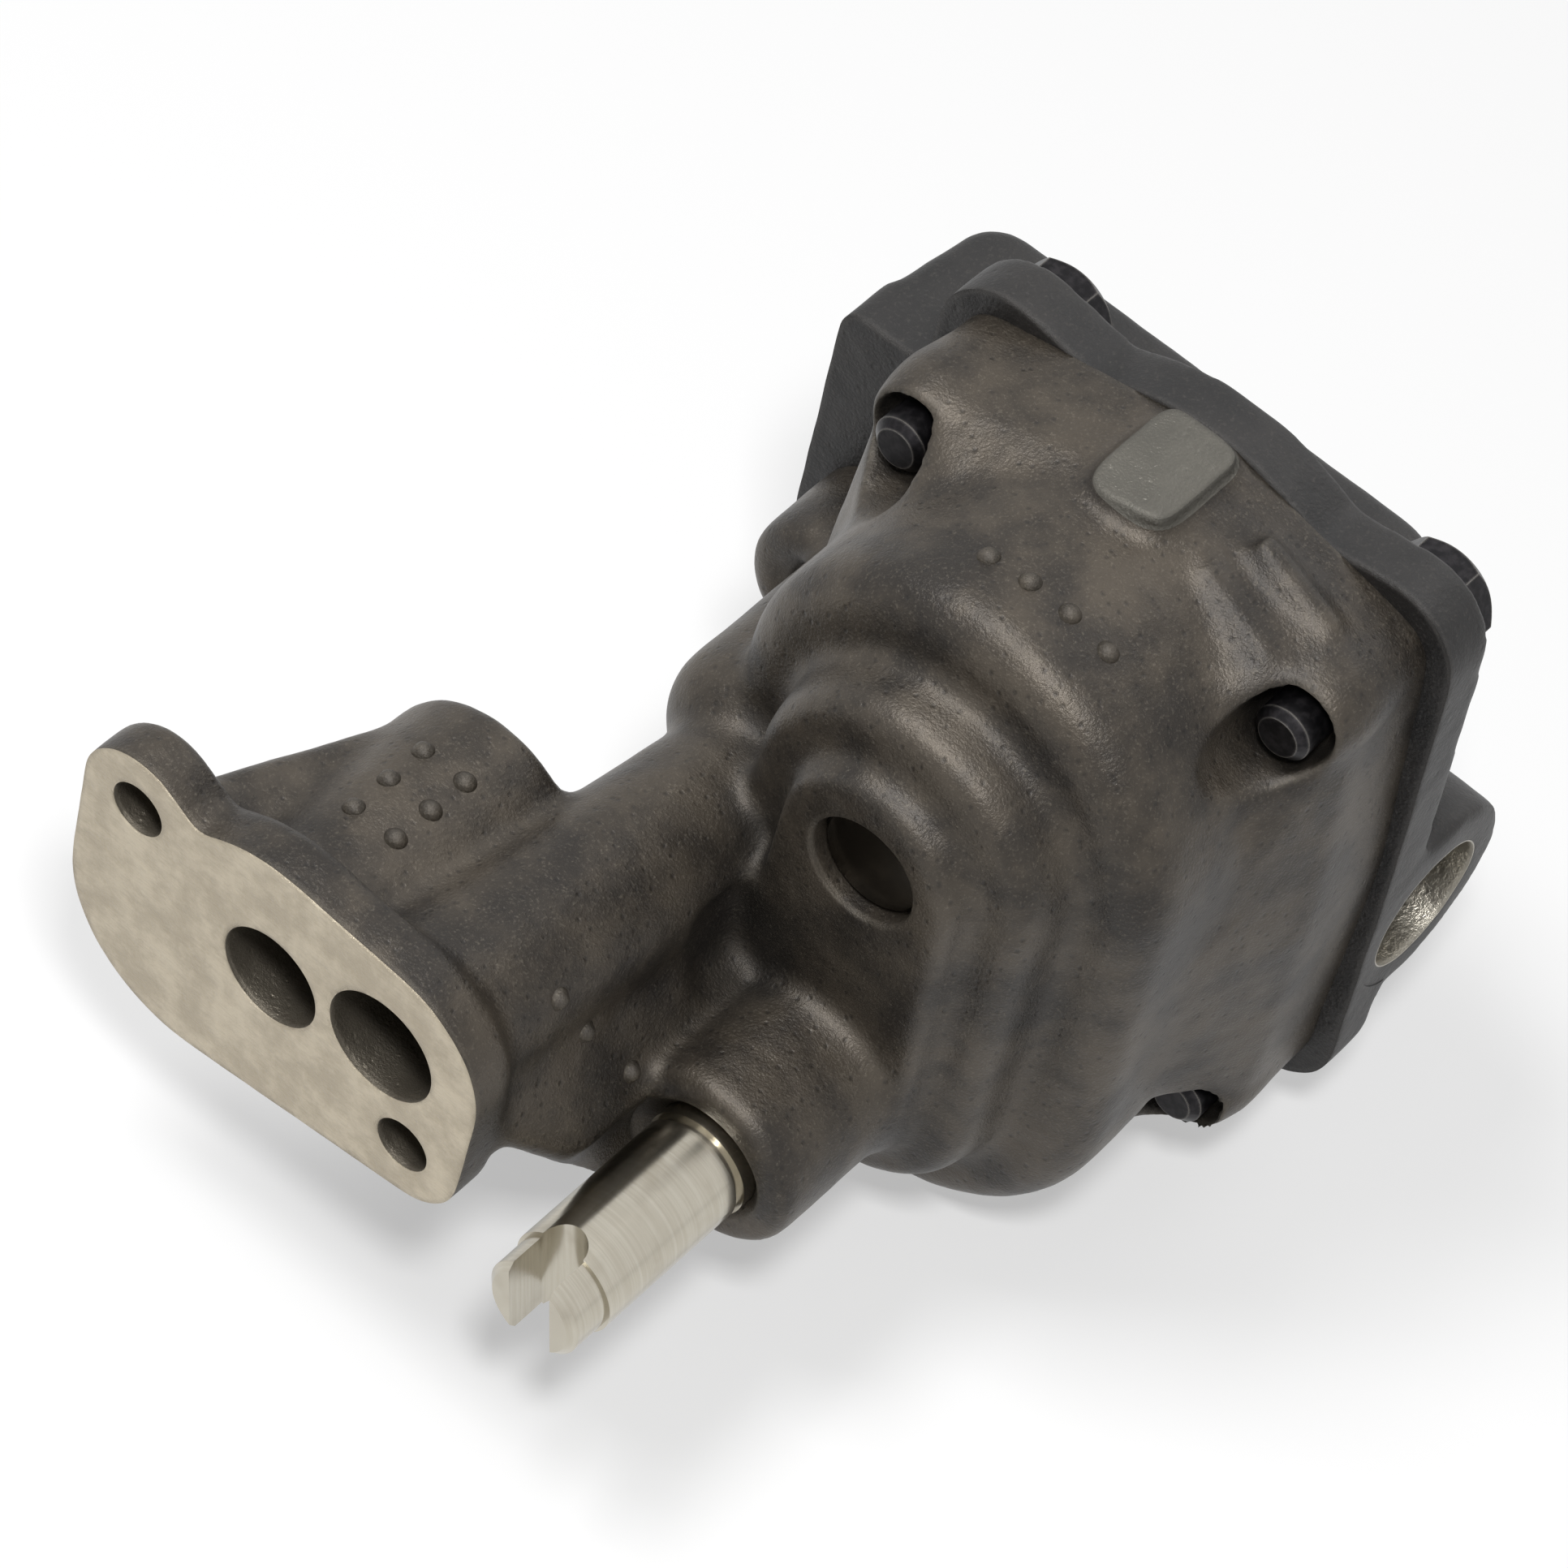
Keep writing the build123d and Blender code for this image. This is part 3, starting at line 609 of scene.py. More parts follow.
print("waves are", WAVE_SIZE / MM, "mm across and", WAVE_DEPTH / MM, "mm deep")

# %% Cast a piece
SMOOTHING_ROUNDS = 3
FILLET_ROUNDS = 11
EDGE_WEAR = 0.5


def cast(node, machined_levels, plugs, hollows=()):
    """The rough casting of a piece, with any hollows that its sand mould leaves."""
    mesh = melted(node, machined_levels, plugs)
    if hollows:
        mesh = even_skin(after_cutting(mesh, hollows))
    relax(mesh, SMOOTHING_ROUNDS)
    relax(mesh, FILLET_ROUNDS, EDGE_WEAR)
    sink_waves(mesh)
    print(node, "cast:", len(mesh.polygons), "faces")
    return mesh


print("edges are worn by", EDGE_WEAR, "of what the skin would give")

# %% Cut the machined places
SHARP_ANGLE = math.radians(34)


def machine(node, mesh, cutters, iron):
    """Cut a casting to size and show it in its CAD piece's stead."""
    finished = after_cutting(mesh, cutters)
    finished.name = node + "_machined"
    finished.data.shade_smooth()
    finished.data.set_sharp_from_angle(angle=SHARP_ANGLE)
    finished.data.materials.clear()
    finished.data.materials.append(iron)
    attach(finished, "housing")
    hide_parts(node)
    print(node, "machined:", len(finished.data.polygons), "faces")
    return finished


print("edges sharper than", round(math.degrees(SHARP_ANGLE)), "degrees stay crisp")

# %% Where things are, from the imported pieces
OVER = 5 * MM
RUNNING_GAP = 0.10 * MM


def middle(node):
    low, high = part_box(node)
    return (low + high) / 2


joint_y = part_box("pump_body")[1].y
drive, idler = middle("drive_shaft"), middle("idler_shaft")
gear_low, gear_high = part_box("drive_gear")
gear_r = (gear_high.z - gear_low.z) / 2
cavity_r = gear_r + RUNNING_GAP
cavity_y = gear_low.y - RUNNING_GAP
screw_places = [middle(node) for node in frame["nodes"] if node.startswith("cover_screw_")]
outlet = MOUNTS["oil_outlet"]["pos_m"]


def along_y(place, radius, front, back, back_radius=None):
    """A bar that runs along the shafts, at the x and z of a place."""
    return bar((place[0], front, place[2]), (place[0], back, place[2]), radius, back_radius)


def along_x(place, radius, left, right):
    return bar((left, place[1], place[2]), (right, place[1], place[2]), radius)


print("joint face at", round(joint_y / MM, 1), "mm, gear cavity radius", round(cavity_r / MM, 2), "mm")

# %% [markdown]
# ## The pump body
#
# The body is a drum round the gears, with a rim that flares out to the cover and a thick corner at each
# screw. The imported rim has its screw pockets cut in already, and their thin walls would tear when the skin
# relaxes. So the rim is first wrapped whole: points on its rounds at three depths, and the tightest skin
# round them all. The pockets come back afterwards, as hollows that the sand mould leaves.

# %% The rim and its screw corners
RIM_ARC_R = 27.2 * MM
RIM_SIDE_R = 31.8 * MM
RIM_SIDE_DOWN = 13 * MM
RIM_STEPS = 90
CORNER_Z = 20 * MM
# At each depth, in millimetres: y, how far the rim draws in, the corners' radius, and their share of the way.
RIM_LEVELS = ((62, 5.4, 0.9, 0.82), (77, 0, 5.5, 1), (90.5, 0, 5.5, 1))
# The thickening round a screw, as y and radius in millimetres.
UPPER_LOBE = ((73.5, 5.3), (77, 6.2), (80, 6.4), (87, 5.4))
LOWER_LOBE = ((73, 4.9), (78, 5.9), (87, 5.4))
# The ribs beside the upper right screw, as two ends and a radius in millimetres.
RIDGES = (((48.0, 81.8, 42.6), (59.0, 80.8, 39.2), 2.0),
          ((46.0, 76.2, 41.6), (56.5, 74.4, 38.2), 1.7),
          ((59.5, 78.0, 38.8), (64.5, 80.0, 36.8), 1.7))
corner_screws = [place for place in screw_places if abs(place.z) > CORNER_Z]


def rim_rounds(inset, corner_r, way_out):
    """The middle and radius of every round that the rim is wrapped about at one depth."""
    side = idler - Vector((0, 0, RIM_SIDE_DOWN))
    rounds = [(idler, RIM_ARC_R - inset), (drive, RIM_ARC_R - inset), (side, RIM_SIDE_R - inset)]
    for place in corner_screws:
        shaft = idler if place.z > 0 else drive
        rounds.append((shaft + (place - shaft) * way_out, corner_r))
    return rounds


def rim_plug():
    """The rim without its screw pockets: the tight wrapping round its outlines."""
    turns = [2 * math.pi * step / RIM_STEPS for step in range(RIM_STEPS)]
    shape = bmesh.new()
    for y, inset, corner_r, way_out in RIM_LEVELS:
        for place, radius in rim_rounds(inset * MM, corner_r * MM, way_out):
            for turn in turns:
                across, up = radius * math.cos(turn), radius * math.sin(turn)
                shape.verts.new((place.x + across, y * MM, place.z + up))
    wrapped = bmesh.ops.convex_hull(shape, input=shape.verts)
    inside = set(wrapped["geom_interior"]) | set(wrapped["geom_unused"])
    loose = [item for item in inside if isinstance(item, bmesh.types.BMVert)]
    bmesh.ops.delete(shape, geom=loose, context="VERTS")
    return shape


def lobes_and_ridges():
    """The thick corner round each screw, and the ribs beside the upper right one."""
    shapes = [bar(Vector(start) * MM, Vector(end) * MM, radius * MM) for start, end, radius in RIDGES]
    for place in corner_screws:
        levels = UPPER_LOBE if place.z > 0 else LOWER_LOBE
        for (front, front_r), (back, back_r) in zip(levels, levels[1:]):
            shapes.append(along_y(place, front_r * MM, front * MM, back * MM, back_r * MM))
    return shapes


print("rim wraps", len(corner_screws), "screw corners, with", len(RIDGES), "ribs")

# %% Screw pockets
POCKET_R = 4.5 * MM
POCKET_MOUTH_R = 3.4 * MM
POCKET_MOUTH_Y = 63 * MM
POCKET_SHOULDER_Y = 67 * MM
POCKET_FLOOR_Y = 77 * MM
POCKET_OVERLAP = 0.3 * MM


def screw_pockets():
    """A round pocket in front of each screw. Its cone runs into its barrel, so that no skin stays between."""
    pockets = []
    for place in screw_places:
        cone_end = POCKET_SHOULDER_Y + POCKET_OVERLAP
        pockets.append(along_y(place, POCKET_MOUTH_R, POCKET_MOUTH_Y, cone_end, POCKET_R))
        pockets.append(along_y(place, POCKET_R, POCKET_SHOULDER_Y, POCKET_FLOOR_Y))
    return pockets


print("pockets:", len(screw_places), "of", round(2 * POCKET_R / MM), "mm")

# %% The clamping pad
PAD_BACK_FROM_JOINT = 7.7 * MM
PAD_HALF_X = 5.5 * MM
PAD_HALF_Y = 7.5 * MM
PAD_FRONT_REACH = 10 * MM
PAD_REACH = 8 * MM
CREASE_LEFT = 0.4 * MM
CREASE_TURN = math.radians(25)
PAD_SLOPE = math.radians(11)
pad_middle = Vector((pad_middle_x, joint_y - PAD_BACK_FROM_JOINT, pad_top))


def on_pad(point):
    """Is this point of the body on the clamping pad?"""
    near = abs(point.x - pad_middle.x) < PAD_HALF_X and abs(point.y - pad_middle.y) < PAD_HALF_Y
    return near and point.z > pad_top - PAD_SLOPE_DROP


def pad_cutters():
    """The ground pad is two flats that meet at a slanting crease."""
    level = Matrix.Translation(pad_middle)
    crease_start = Matrix.Translation(pad_middle + Vector((-CREASE_LEFT, 0, 0)))
    sloping = crease_start @ Matrix.Rotation(CREASE_TURN, 4, "Z") @ Matrix.Rotation(-PAD_SLOPE, 4, "Y")
    return [block((-PAD_REACH, -PAD_FRONT_REACH, 0), (PAD_REACH, PAD_HALF_Y, OVER), level),
            block((-PAD_REACH, -PAD_REACH, 0), (0, PAD_REACH, OVER), sloping)]


print("pad slopes", round(math.degrees(PAD_SLOPE)), "degrees on its left")

# %% [markdown]
# The body is plugged at its bolt hole, dowel holes, outlet, both shaft bores, the screw holes and the open
# joint face. The skin closes over what is inside, so the gear cavity and the oil ways are cut again with
# the rest. The holes could be left open, but a melted hole is never quite round. Plugs and cutters both
# take their places from the record, so each bore comes back where its plug was.

# %% Plugs for the body
JOURNAL_R = 6.21 * MM
JOURNAL_FRONT = 24.5 * MM
IDLER_BORE_R = 6.35 * MM
IDLER_BORE_FRONT = 41 * MM
BORE_PLUG_INSET = 0.2 * MM
JOURNAL_PLUG_R = 7.9 * MM
IDLER_PLUG_R = 7.2 * MM
SCREW_PLUG_R = 5.3 * MM
PLUG_FRONT = -1.5 * MM
# The plug in each hole of the mounting face, as radius and end in millimetres.
FACE_PLUGS = {"mounting_bolt_hole": (6.6, 32.7), "oil_outlet": (7.2, 19),
              "locating_hole_upper": (3.9, 5.8), "locating_hole_lower": (3.9, 5.8)}


def body_plugs():
    inner_end = cavity_y + OVER
    plugs = [rim_plug()]
    for name, (radius, end) in FACE_PLUGS.items():
        plugs.append(along_y(MOUNTS[name]["pos_m"], radius * MM, PLUG_FRONT, end * MM))
    plugs.append(along_y(drive, JOURNAL_PLUG_R, JOURNAL_FRONT + BORE_PLUG_INSET, inner_end))
    plugs.append(along_y(idler, IDLER_PLUG_R, IDLER_BORE_FRONT + BORE_PLUG_INSET, inner_end))
    for place in screw_places:
        plugs.append(along_y(place, SCREW_PLUG_R, POCKET_FLOOR_Y, joint_y + ALLOWANCE))
    return plugs + lobes_and_ridges()


print("holes plugged in the mounting face:", len(FACE_PLUGS))

# %% Cutters for the body's oil ways
WAY_FRONT_Y = 17.5 * MM
WAY_FRONT_R = 6.15 * MM
WAY_BACK = Vector((17, 68, 1)) * MM
WAY_BACK_R = 5.35 * MM
OUTLET_PORT = Vector((12.5, 58.5, -5)) * MM, Vector((28.5, 70, 5)) * MM
INLET_PORT_LOW = Vector((47.5, 63.5, -8)) * MM
INLET_PORT_HIGH = Vector((61.5 * MM, joint_y + OVER, 8 * MM))


def oil_ways():
    """The sloping cored way behind the outlet, and the two ports beside the gears."""
    way = bar((outlet[0], WAY_FRONT_Y, outlet[2]), WAY_BACK, WAY_FRONT_R, WAY_BACK_R)
    return [way, block(*OUTLET_PORT), block(INLET_PORT_LOW, INLET_PORT_HIGH)]


print("oil way ends", round(WAY_BACK.y / MM), "mm behind the mounting face")

# %% Cutters for the body's faces and bores
SCREW_R = 3.175 * MM
SCREW_WAY_FRONT_Y = POCKET_FLOOR_Y - 1 * MM
MOUTH_CHAMFER = 1.3 * MM


def body_cutters():
    inner_end = cavity_y + OVER
    cutters = [block((-1, -1, -1), (1, 0, 1)), block((-1, joint_y, -1), (1, 1, 1))]
    for name in MACHINED_HOLES:
        radius, depth = hole_size(name)
        beyond = OVER if name == "mounting_bolt_hole" else 0
        cutters.append(along_y(MOUNTS[name]["pos_m"], radius, -OVER, depth + beyond))
    for place in screw_places:
        cutters.append(along_y(place, SCREW_R, SCREW_WAY_FRONT_Y, joint_y + OVER))
    cutters.append(along_y(drive, JOURNAL_R, JOURNAL_FRONT - OVER, inner_end))
    cutters.append(along_y(drive, JOURNAL_R + 2 * MOUTH_CHAMFER, JOURNAL_FRONT - MOUTH_CHAMFER,
                           JOURNAL_FRONT + MOUTH_CHAMFER, JOURNAL_R))
    cutters.append(along_y(idler, IDLER_BORE_R, IDLER_BORE_FRONT - OVER, inner_end))
    for shaft in (drive, idler):
        cutters.append(along_y(shaft, cavity_r, cavity_y, joint_y + OVER))
    return cutters + oil_ways() + pad_cutters()


print("shaft bores", round(2 * JOURNAL_R / MM, 2), "and", round(2 * IDLER_BORE_R / MM, 2), "mm wide")

# %% Cast and machine the pump body
SAME_PLANE = 0.01 * MM
FACING_UP = 0.9
body_levels = [(lambda point: abs(point.y) < SAME_PLANE, (0, -1, 0)),
               (lambda point: abs(point.y - joint_y) < SAME_PLANE, (0, 1, 0)),
               (on_pad, (0, 0, 1))]
rough_body = cast("pump_body", body_levels, body_plugs(), screw_pockets())
body = machine("pump_body", rough_body, body_cutters(), cast_iron_body)
for patch in body.data.polygons:
    if patch.normal.z > FACING_UP and on_pad(patch.center):
        patch.use_smooth = False

# %% [markdown]
# ## The cover
#
# The cover is a thick plate with two things cast on its back: a cross tunnel for the relief valve, and a
# boss whose bright bore takes the pickup tube. It is made the same way as the body, but nothing in it is
# deep or thin, so one melt is enough. The window in its joint face lets oil through from the tube to the
# gears.

# %% Where the cover is machined
INLET_SPOT_R = 10.4 * MM
INLET_WAY_R = 7.2 * MM
INLET_WAY_END_X = 46.5 * MM
VALVE_CLEARANCE = 0.04 * MM
TUNNEL_FLOOR_Z = 5.5 * MM
WINDOW_LOW = Vector((47.5, 0, -9.5)) * MM
WINDOW_HIGH = Vector((58.5, 0, 3.5)) * MM
valve, pin = middle("relief_valve"), middle("relief_retaining_pin")
valve_low, valve_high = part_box("relief_valve")
pin_low, pin_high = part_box("relief_retaining_pin")
valve_r = (valve_high.z - valve_low.z) / 2 + VALVE_CLEARANCE
pin_r = (pin_high.x - pin_low.x) / 2
tunnel_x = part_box("pump_cover")[0].x
washers = [node for node in frame["nodes"] if node.startswith("lock_washer_")]
washer_seat_y = min(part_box(node)[0].y for node in washers)
print("valve bore", round(2 * valve_r / MM, 2), "mm, washer seats at", round(washer_seat_y / MM, 1), "mm")

# %% Plugs for the cover
INLET_PLUG_R = 8.6 * MM
INLET_PLUG_BEYOND = 5 * MM
VALVE_PLUG_WALL = 0.7 * MM
PIN_PLUG_WALL = 0.6 * MM
PLUG_SUNK = 0.2 * MM
TUNNEL_PLUG_SUNK = 0.5 * MM
PLUG_PAST = 0.8 * MM
WINDOW_PLUG_R = 9 * MM
WINDOW_PLUG_DEEP = 2 * MM
SCREW_HEAD_PLUG_R = 4.3 * MM


def cover_plugs():
    front = joint_y - ALLOWANCE
    inlet_end = inlet_face.x - inlet_depth - INLET_PLUG_BEYOND
    pin_start = Vector((pin.x, pin.y, TUNNEL_FLOOR_Z + PLUG_SUNK))
    pin_end = Vector((pin.x, pin.y, pin_high.z + PLUG_PAST))
    window_middle = (WINDOW_LOW + WINDOW_HIGH) / 2
    plugs = [along_x(inlet_face, INLET_PLUG_R, inlet_end, inlet_face.x - PLUG_SUNK),
             along_x(valve, valve_r + VALVE_PLUG_WALL, tunnel_x + TUNNEL_PLUG_SUNK, valve_high.x + PLUG_PAST),
             bar(pin_start, pin_end, pin_r + PIN_PLUG_WALL),
             along_y(window_middle, WINDOW_PLUG_R, front, joint_y + WINDOW_PLUG_DEEP)]
    for place in screw_places:
        plugs.append(along_y(place, SCREW_HEAD_PLUG_R, front, washer_seat_y - PLUG_SUNK))
    return plugs


print("screw holes to plug in the cover:", len(screw_places))

# %% Cutters for the cover
SCREW_WAY_R = 3.525 * MM
WASHER_SEAT_R = 6.75 * MM
WASHER_SEAT_CUT = 2 * MM


def cover_cutters():
    pin_start = Vector((pin.x, pin.y, TUNNEL_FLOOR_Z - OVER))
    pin_end = Vector((pin.x, pin.y, pin_high.z))
    window_front = WINDOW_LOW + Vector((0, joint_y - OVER, 0))
    window_back = WINDOW_HIGH + Vector((0, inlet_face.y, 0))
    cutters = [block((-1, -1, -1), (1, joint_y, 1)),
               along_x(inlet_face, INLET_SPOT_R, inlet_face.x, inlet_face.x + OVER),
               along_x(inlet_face, inlet_r, inlet_face.x - inlet_depth, inlet_face.x + OVER),
               along_x(inlet_face, INLET_WAY_R, INLET_WAY_END_X, inlet_face.x),
               along_x(valve, valve_r, tunnel_x - OVER, valve_high.x),
               bar(pin_start, pin_end, pin_r),
               block(window_front, window_back)]
    for place in screw_places:
        cutters.append(along_y(place, SCREW_WAY_R, joint_y - OVER, washer_seat_y + OVER))
        cutters.append(along_y(place, WASHER_SEAT_R, washer_seat_y, washer_seat_y + WASHER_SEAT_CUT))
    return cutters


print("screws pass the cover with", round((SCREW_WAY_R - SCREW_R) / MM, 2), "mm to spare")

# %% Cast and machine the cover
cover_levels = [(lambda point: abs(point.y - joint_y) < SAME_PLANE, (0, -1, 0))]
rough_cover = cast("pump_cover", cover_levels, cover_plugs())
cover = machine("pump_cover", rough_cover, cover_cutters(), cast_iron_cover)

# %% [markdown]
# ## Foundry pips
#
# Castings carry raised marks that the pattern maker set into the mould. Here they are plain pips: low round
# domes with a soft foot. A pip could be a squashed sphere, but its edge would meet the casting like a ball
# on a table. A lathe profile gives the flared foot, and a ray cast onto the casting finds the spot and the
# way it faces.

# %% Turn one pip's profile into a mesh
PIP_TOP = 0.85
PIP_PROFILE = [(0.35, 0.80), (0.68, 0.62), (0.88, 0.34), (1.05, 0.12), (1.45, -0.25)]
PIP_SIDES = 24


def pip_mesh(name):
    """A dome with a flared foot, standing on z = 0, from a profile in millimetres."""
    turns = [2 * math.pi * side / PIP_SIDES for side in range(PIP_SIDES)]
    shape = bmesh.new()
    top = shape.verts.new((0, 0, PIP_TOP * MM))
    rings = []
    for radius, height in PIP_PROFILE:
        ring = [(radius * MM * math.cos(turn), radius * MM * math.sin(turn), height * MM) for turn in turns]
        rings.append([shape.verts.new(place) for place in ring])
    for side in range(PIP_SIDES):
        following = (side + 1) % PIP_SIDES
        shape.faces.new((top, rings[0][side], rings[0][following]))
        for inner, outer in zip(rings, rings[1:]):
            shape.faces.new((inner[side], outer[side], outer[following], inner[following]))
    shape.faces.new(list(reversed(rings[-1])))
    mesh = bpy.data.meshes.new(name)
    shape.to_mesh(mesh)
    shape.free()
    mesh.shade_smooth()
    return mesh


print("a pip has", len(pip_mesh("pip_trial").vertices), "points")
bpy.data.meshes.remove(bpy.data.meshes["pip_trial"])


# %% Set pips where a ray meets the casting
def set_pip(name, start, direction):
    """Stand a pip on the pump body where a ray from start, in millimetres, first meets it."""
    found, spot, facing, _ = body.ray_cast(Vector(start) * MM, Vector(direction).normalized())
    if not found:
        raise ValueError(f"{name} misses the casting")
    pip = bpy.data.objects.new(name, pip_mesh(name))
    pip.matrix_world = Matrix.Translation(spot) @ facing.to_track_quat("Z", "Y").to_matrix().to_4x4()
    bpy.context.collection.objects.link(pip)
    pip.data.materials.append(pip_iron)
    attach(pip, "housing")


DOWN = (0, 0, -1)
INTO_NECK = (-0.9, 0, -0.43)
pip_finish = Finish("cast_iron_pips")
skin_colour, skin_roughness, skin_bumps = casting_skin(pip_finish, BODY_GRAIN, *BODY_IRON_COLOURS)
pip_iron = pip_finish.set(
    base_color=skin_colour,
    roughness=skin_roughness,
    metallic=BODY_SHEEN,
    normal=skin_bumps)
bpy.context.view_layer.update()
for number in range(4):
    set_pip(f"barrel_pip_{number + 1}", (31 + 5 * number, 61.4, 80), DOWN)
for number in range(3):
    start = (45 + 2.6 * number, 14.5 + 4.0 * number, 17 - 7.5 * number)
    set_pip(f"neck_pip_{number + 1}", start, INTO_NECK)
for row in range(2):
    for number in range(3):
        set_pip(f"boss_pip_{row + 1}_{number + 1}", (-3.5 + 5.5 * row, 14 + 5 * number, 40), DOWN)
print("pips set: 4 on the barrel, 3 on the neck, 6 on the bolt boss")

# %% [markdown]
# ## The relief spring
#
# When the oil pressure lifts the relief valve, its spring gets shorter: one end stays on the cross pin
# while the other follows the valve. Here the spring is wound again as a mesh, in the imported spring's box.
# A screw modifier would wind it too, but a curve swept by a round wire can have closed end turns.

# %% Wind the spring inside the imported spring's box
SPRING_TURNS = 8
CLOSED_TURNS = 1.0
POINTS_PER_TURN = 16
WIRE_ROUNDNESS = 3
WIRE_R = 0.75 * MM
spring_low, spring_high = (Vector(corner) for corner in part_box("relief_spring"))
spring_length = spring_high.x - spring_low.x
spring_axis = (spring_low + spring_high) / 2
coil_r = (spring_high.z - spring_low.z) / 2 - WIRE_R
open_turns = SPRING_TURNS - 2 * CLOSED_TURNS
closed_rise = 2 * WIRE_R
open_rise = (spring_length - 2 * WIRE_R - 2 * closed_rise) / open_turns


def wire_point(turn):
    """A point on the wire's centre line, turn counted from the pin: both end turns lie flat and closed."""
    first = min(turn, CLOSED_TURNS) * closed_rise
    between = min(max(turn - CLOSED_TURNS, 0), open_turns) * open_rise
    last = max(turn - SPRING_TURNS + CLOSED_TURNS, 0) * closed_rise
    angle = 2 * math.pi * turn
    return (spring_low.x + WIRE_R + first + between + last,
            spring_axis.y + coil_r * math.cos(angle),
            spring_axis.z + coil_r * math.sin(angle))


wire = bpy.data.curves.new("relief_spring_wire", "CURVE")
wire.dimensions = "3D"
wire.bevel_depth = WIRE_R
wire.bevel_resolution = WIRE_ROUNDNESS
wire.use_fill_caps = True
line = wire.splines.new("POLY")
line.points.add(SPRING_TURNS * POINTS_PER_TURN)
for number, point in enumerate(line.points):
    point.co = (*wire_point(number / POINTS_PER_TURN), 1.0)
wound = bpy.data.objects.new("relief_spring_wire", wire)
bpy.context.collection.objects.link(wound)
spring = bpy.data.objects.new("wound_relief_spring", bpy.data.meshes.new_from_object(wound))
bpy.data.objects.remove(wound)
bpy.context.collection.objects.link(spring)
spring.data.shade_smooth()
spring.data.materials.clear()
spring.data.materials.append(spring_steel)
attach(spring, "housing")
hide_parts("relief_spring")
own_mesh(spring)
print("spring", round(spring_length / MM, 1), "mm long,", SPRING_TURNS, "turns")

# %% [markdown]
# ## Floor, light and camera
#
# A machined part wants soft light from above and one side, so that round bosses turn from light to dark and
# the polished shaft shows long pale streaks. The floor could simply be white, but then it would clip or
# turn grey with the lamps. So it shows part white to the eye and in reflections, and takes the rest of its
# shade from the real light, so that the shadow stays.

# %% A pale floor that keeps the shadow
FLOOR_SIZE = 1.6
FLOOR_WHITENESS = 0.45
floor_height = cad_box[0][2]
half = FLOOR_SIZE / 2
corners = [(x, y, floor_height) for x, y in ((-half, -half), (half, -half), (half, half), (-half, half))]
floor_mesh = bpy.data.meshes.new("studio_floor")
floor_mesh.from_pydata(corners, [], [(0, 1, 2, 3)])
floor = bpy.data.objects.new("studio_floor", floor_mesh)
bpy.context.collection.objects.link(floor)


def seen(recipe):
    """1 for rays that the eye or a mirror sends, and 0 for the rays that carry soft light."""
    def ray(kind):
        return recipe.node("ShaderNodeLightPath", output=f"Is {kind} Ray")
    return ray("Camera") | ray("Glossy") | ray("Transmission")


WHITE = (1, 1, 1, 1)
PALE = (0.86, 0.86, 0.86, 1)
floor_finish = Finish("pale_floor")
floor_finish.set(base_color=PALE, roughness=0.8)
floor_finish.shader.inputs["Specular IOR Level"].default_value = 0.0
white = floor_finish.node("ShaderNodeEmission", None, {"Color": WHITE, "Strength": 1.0})
both = floor_finish.node("ShaderNodeMixShader", None, {
    0: seen(floor_finish) * FLOOR_WHITENESS,
    1: Signal(floor_finish, floor_finish.shader.outputs[0]),
    2: white})
floor_finish.feed(floor_finish.nodes["Material Output"].inputs["Surface"], both)
floor.data.materials.append(floor_finish.material)
print("floor at", round(floor_height / MM, 1), "mm")

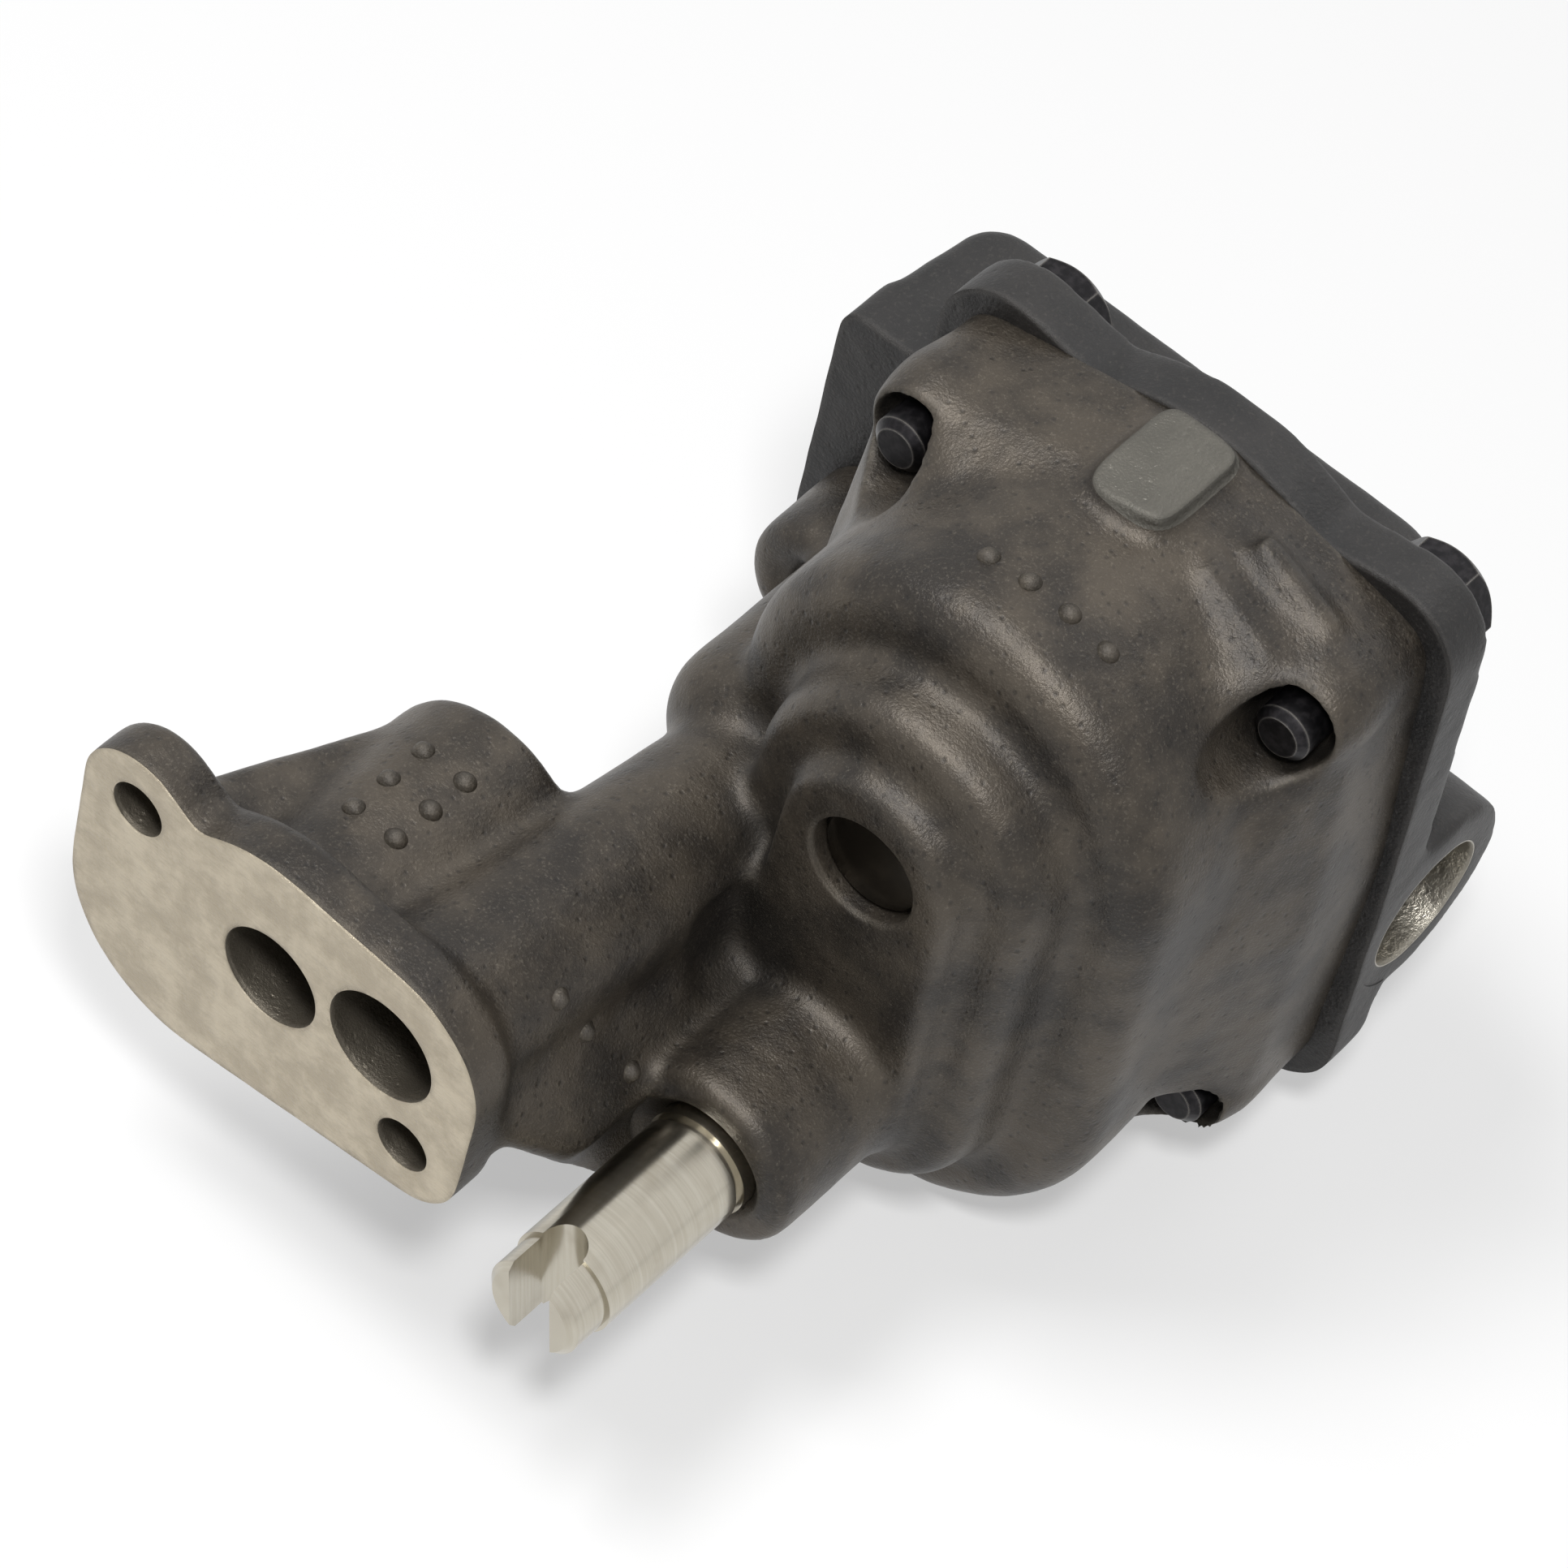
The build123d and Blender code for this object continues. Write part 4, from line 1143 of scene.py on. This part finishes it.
# %% Soft sky
SKY_LIGHT = 0.15
world = bpy.data.worlds.new("soft_sky")
bpy.context.scene.world = world
world.use_nodes = True
sky = Recipe(world.node_tree)
strength = SKY_LIGHT + seen(sky) * (1 - SKY_LIGHT)
sky.feed(sky.nodes["Background"].inputs["Color"], WHITE)
sky.feed(sky.nodes["Background"].inputs["Strength"], strength)
print("sky light", SKY_LIGHT)

# %% Lamps
aim = (Vector(cad_box[0]) + Vector(cad_box[1])) / 2


def lamp(name, place, size, power):
    """A square soft box at place, turned towards the middle of the pump; power is in watts."""
    light = bpy.data.lights.new(name, "AREA")
    light.size, light.energy = size, power
    box = bpy.data.objects.new(name, light)
    box.location = Vector(place)
    box.rotation_euler = (aim - box.location).to_track_quat("-Z", "Y").to_euler()
    bpy.context.collection.objects.link(box)


lamp("key_soft_box", (-0.30, -0.10, 0.85), 0.30, 5.2)
lamp("front_soft_box", (0.20, -0.22, 0.62), 0.10, 3.0)
lamp("back_soft_box", (0.10, 0.80, 0.60), 0.50, 1.2)
print("lamps: key, front and back")

# %% [markdown]
# The camera looks down on the mounting face and along the shafts with a long lens, a little rolled, so that
# the pump runs from the lower left to the upper right. Its turn could be three angles, but their order is
# easy to get wrong, so it is given by the directions of the camera's own axes.

# %% Camera
CAMERA_PLACE = Vector((0.213383, -0.297935, 0.512136))
CAMERA_RIGHT = Vector((0.752278, 0.640124, 0.155945))
CAMERA_UP = Vector((-0.587590, 0.544788, 0.598284))
CAMERA_BACK = Vector((0.298019, -0.541708, 0.785962))
LENS_MM = 149.07
SENSOR_MM = 36.0
NEAREST = 0.01
turned = Matrix((CAMERA_RIGHT, CAMERA_UP, CAMERA_BACK)).transposed().to_4x4()
camera = bpy.data.objects.new("studio_camera", bpy.data.cameras.new("studio_camera"))
camera.data.lens = LENS_MM
camera.data.sensor_width = SENSOR_MM
camera.data.clip_start = NEAREST
camera.matrix_world = Matrix.Translation(CAMERA_PLACE) @ turned
bpy.context.collection.objects.link(camera)
bpy.context.scene.camera = camera
bpy.context.scene.view_settings.view_transform = "Standard"
print("camera", round((CAMERA_PLACE - aim).length, 3), "m from the pump")

# %% [markdown]
# ## The end

# %% Finish
print("the pump is dressed")
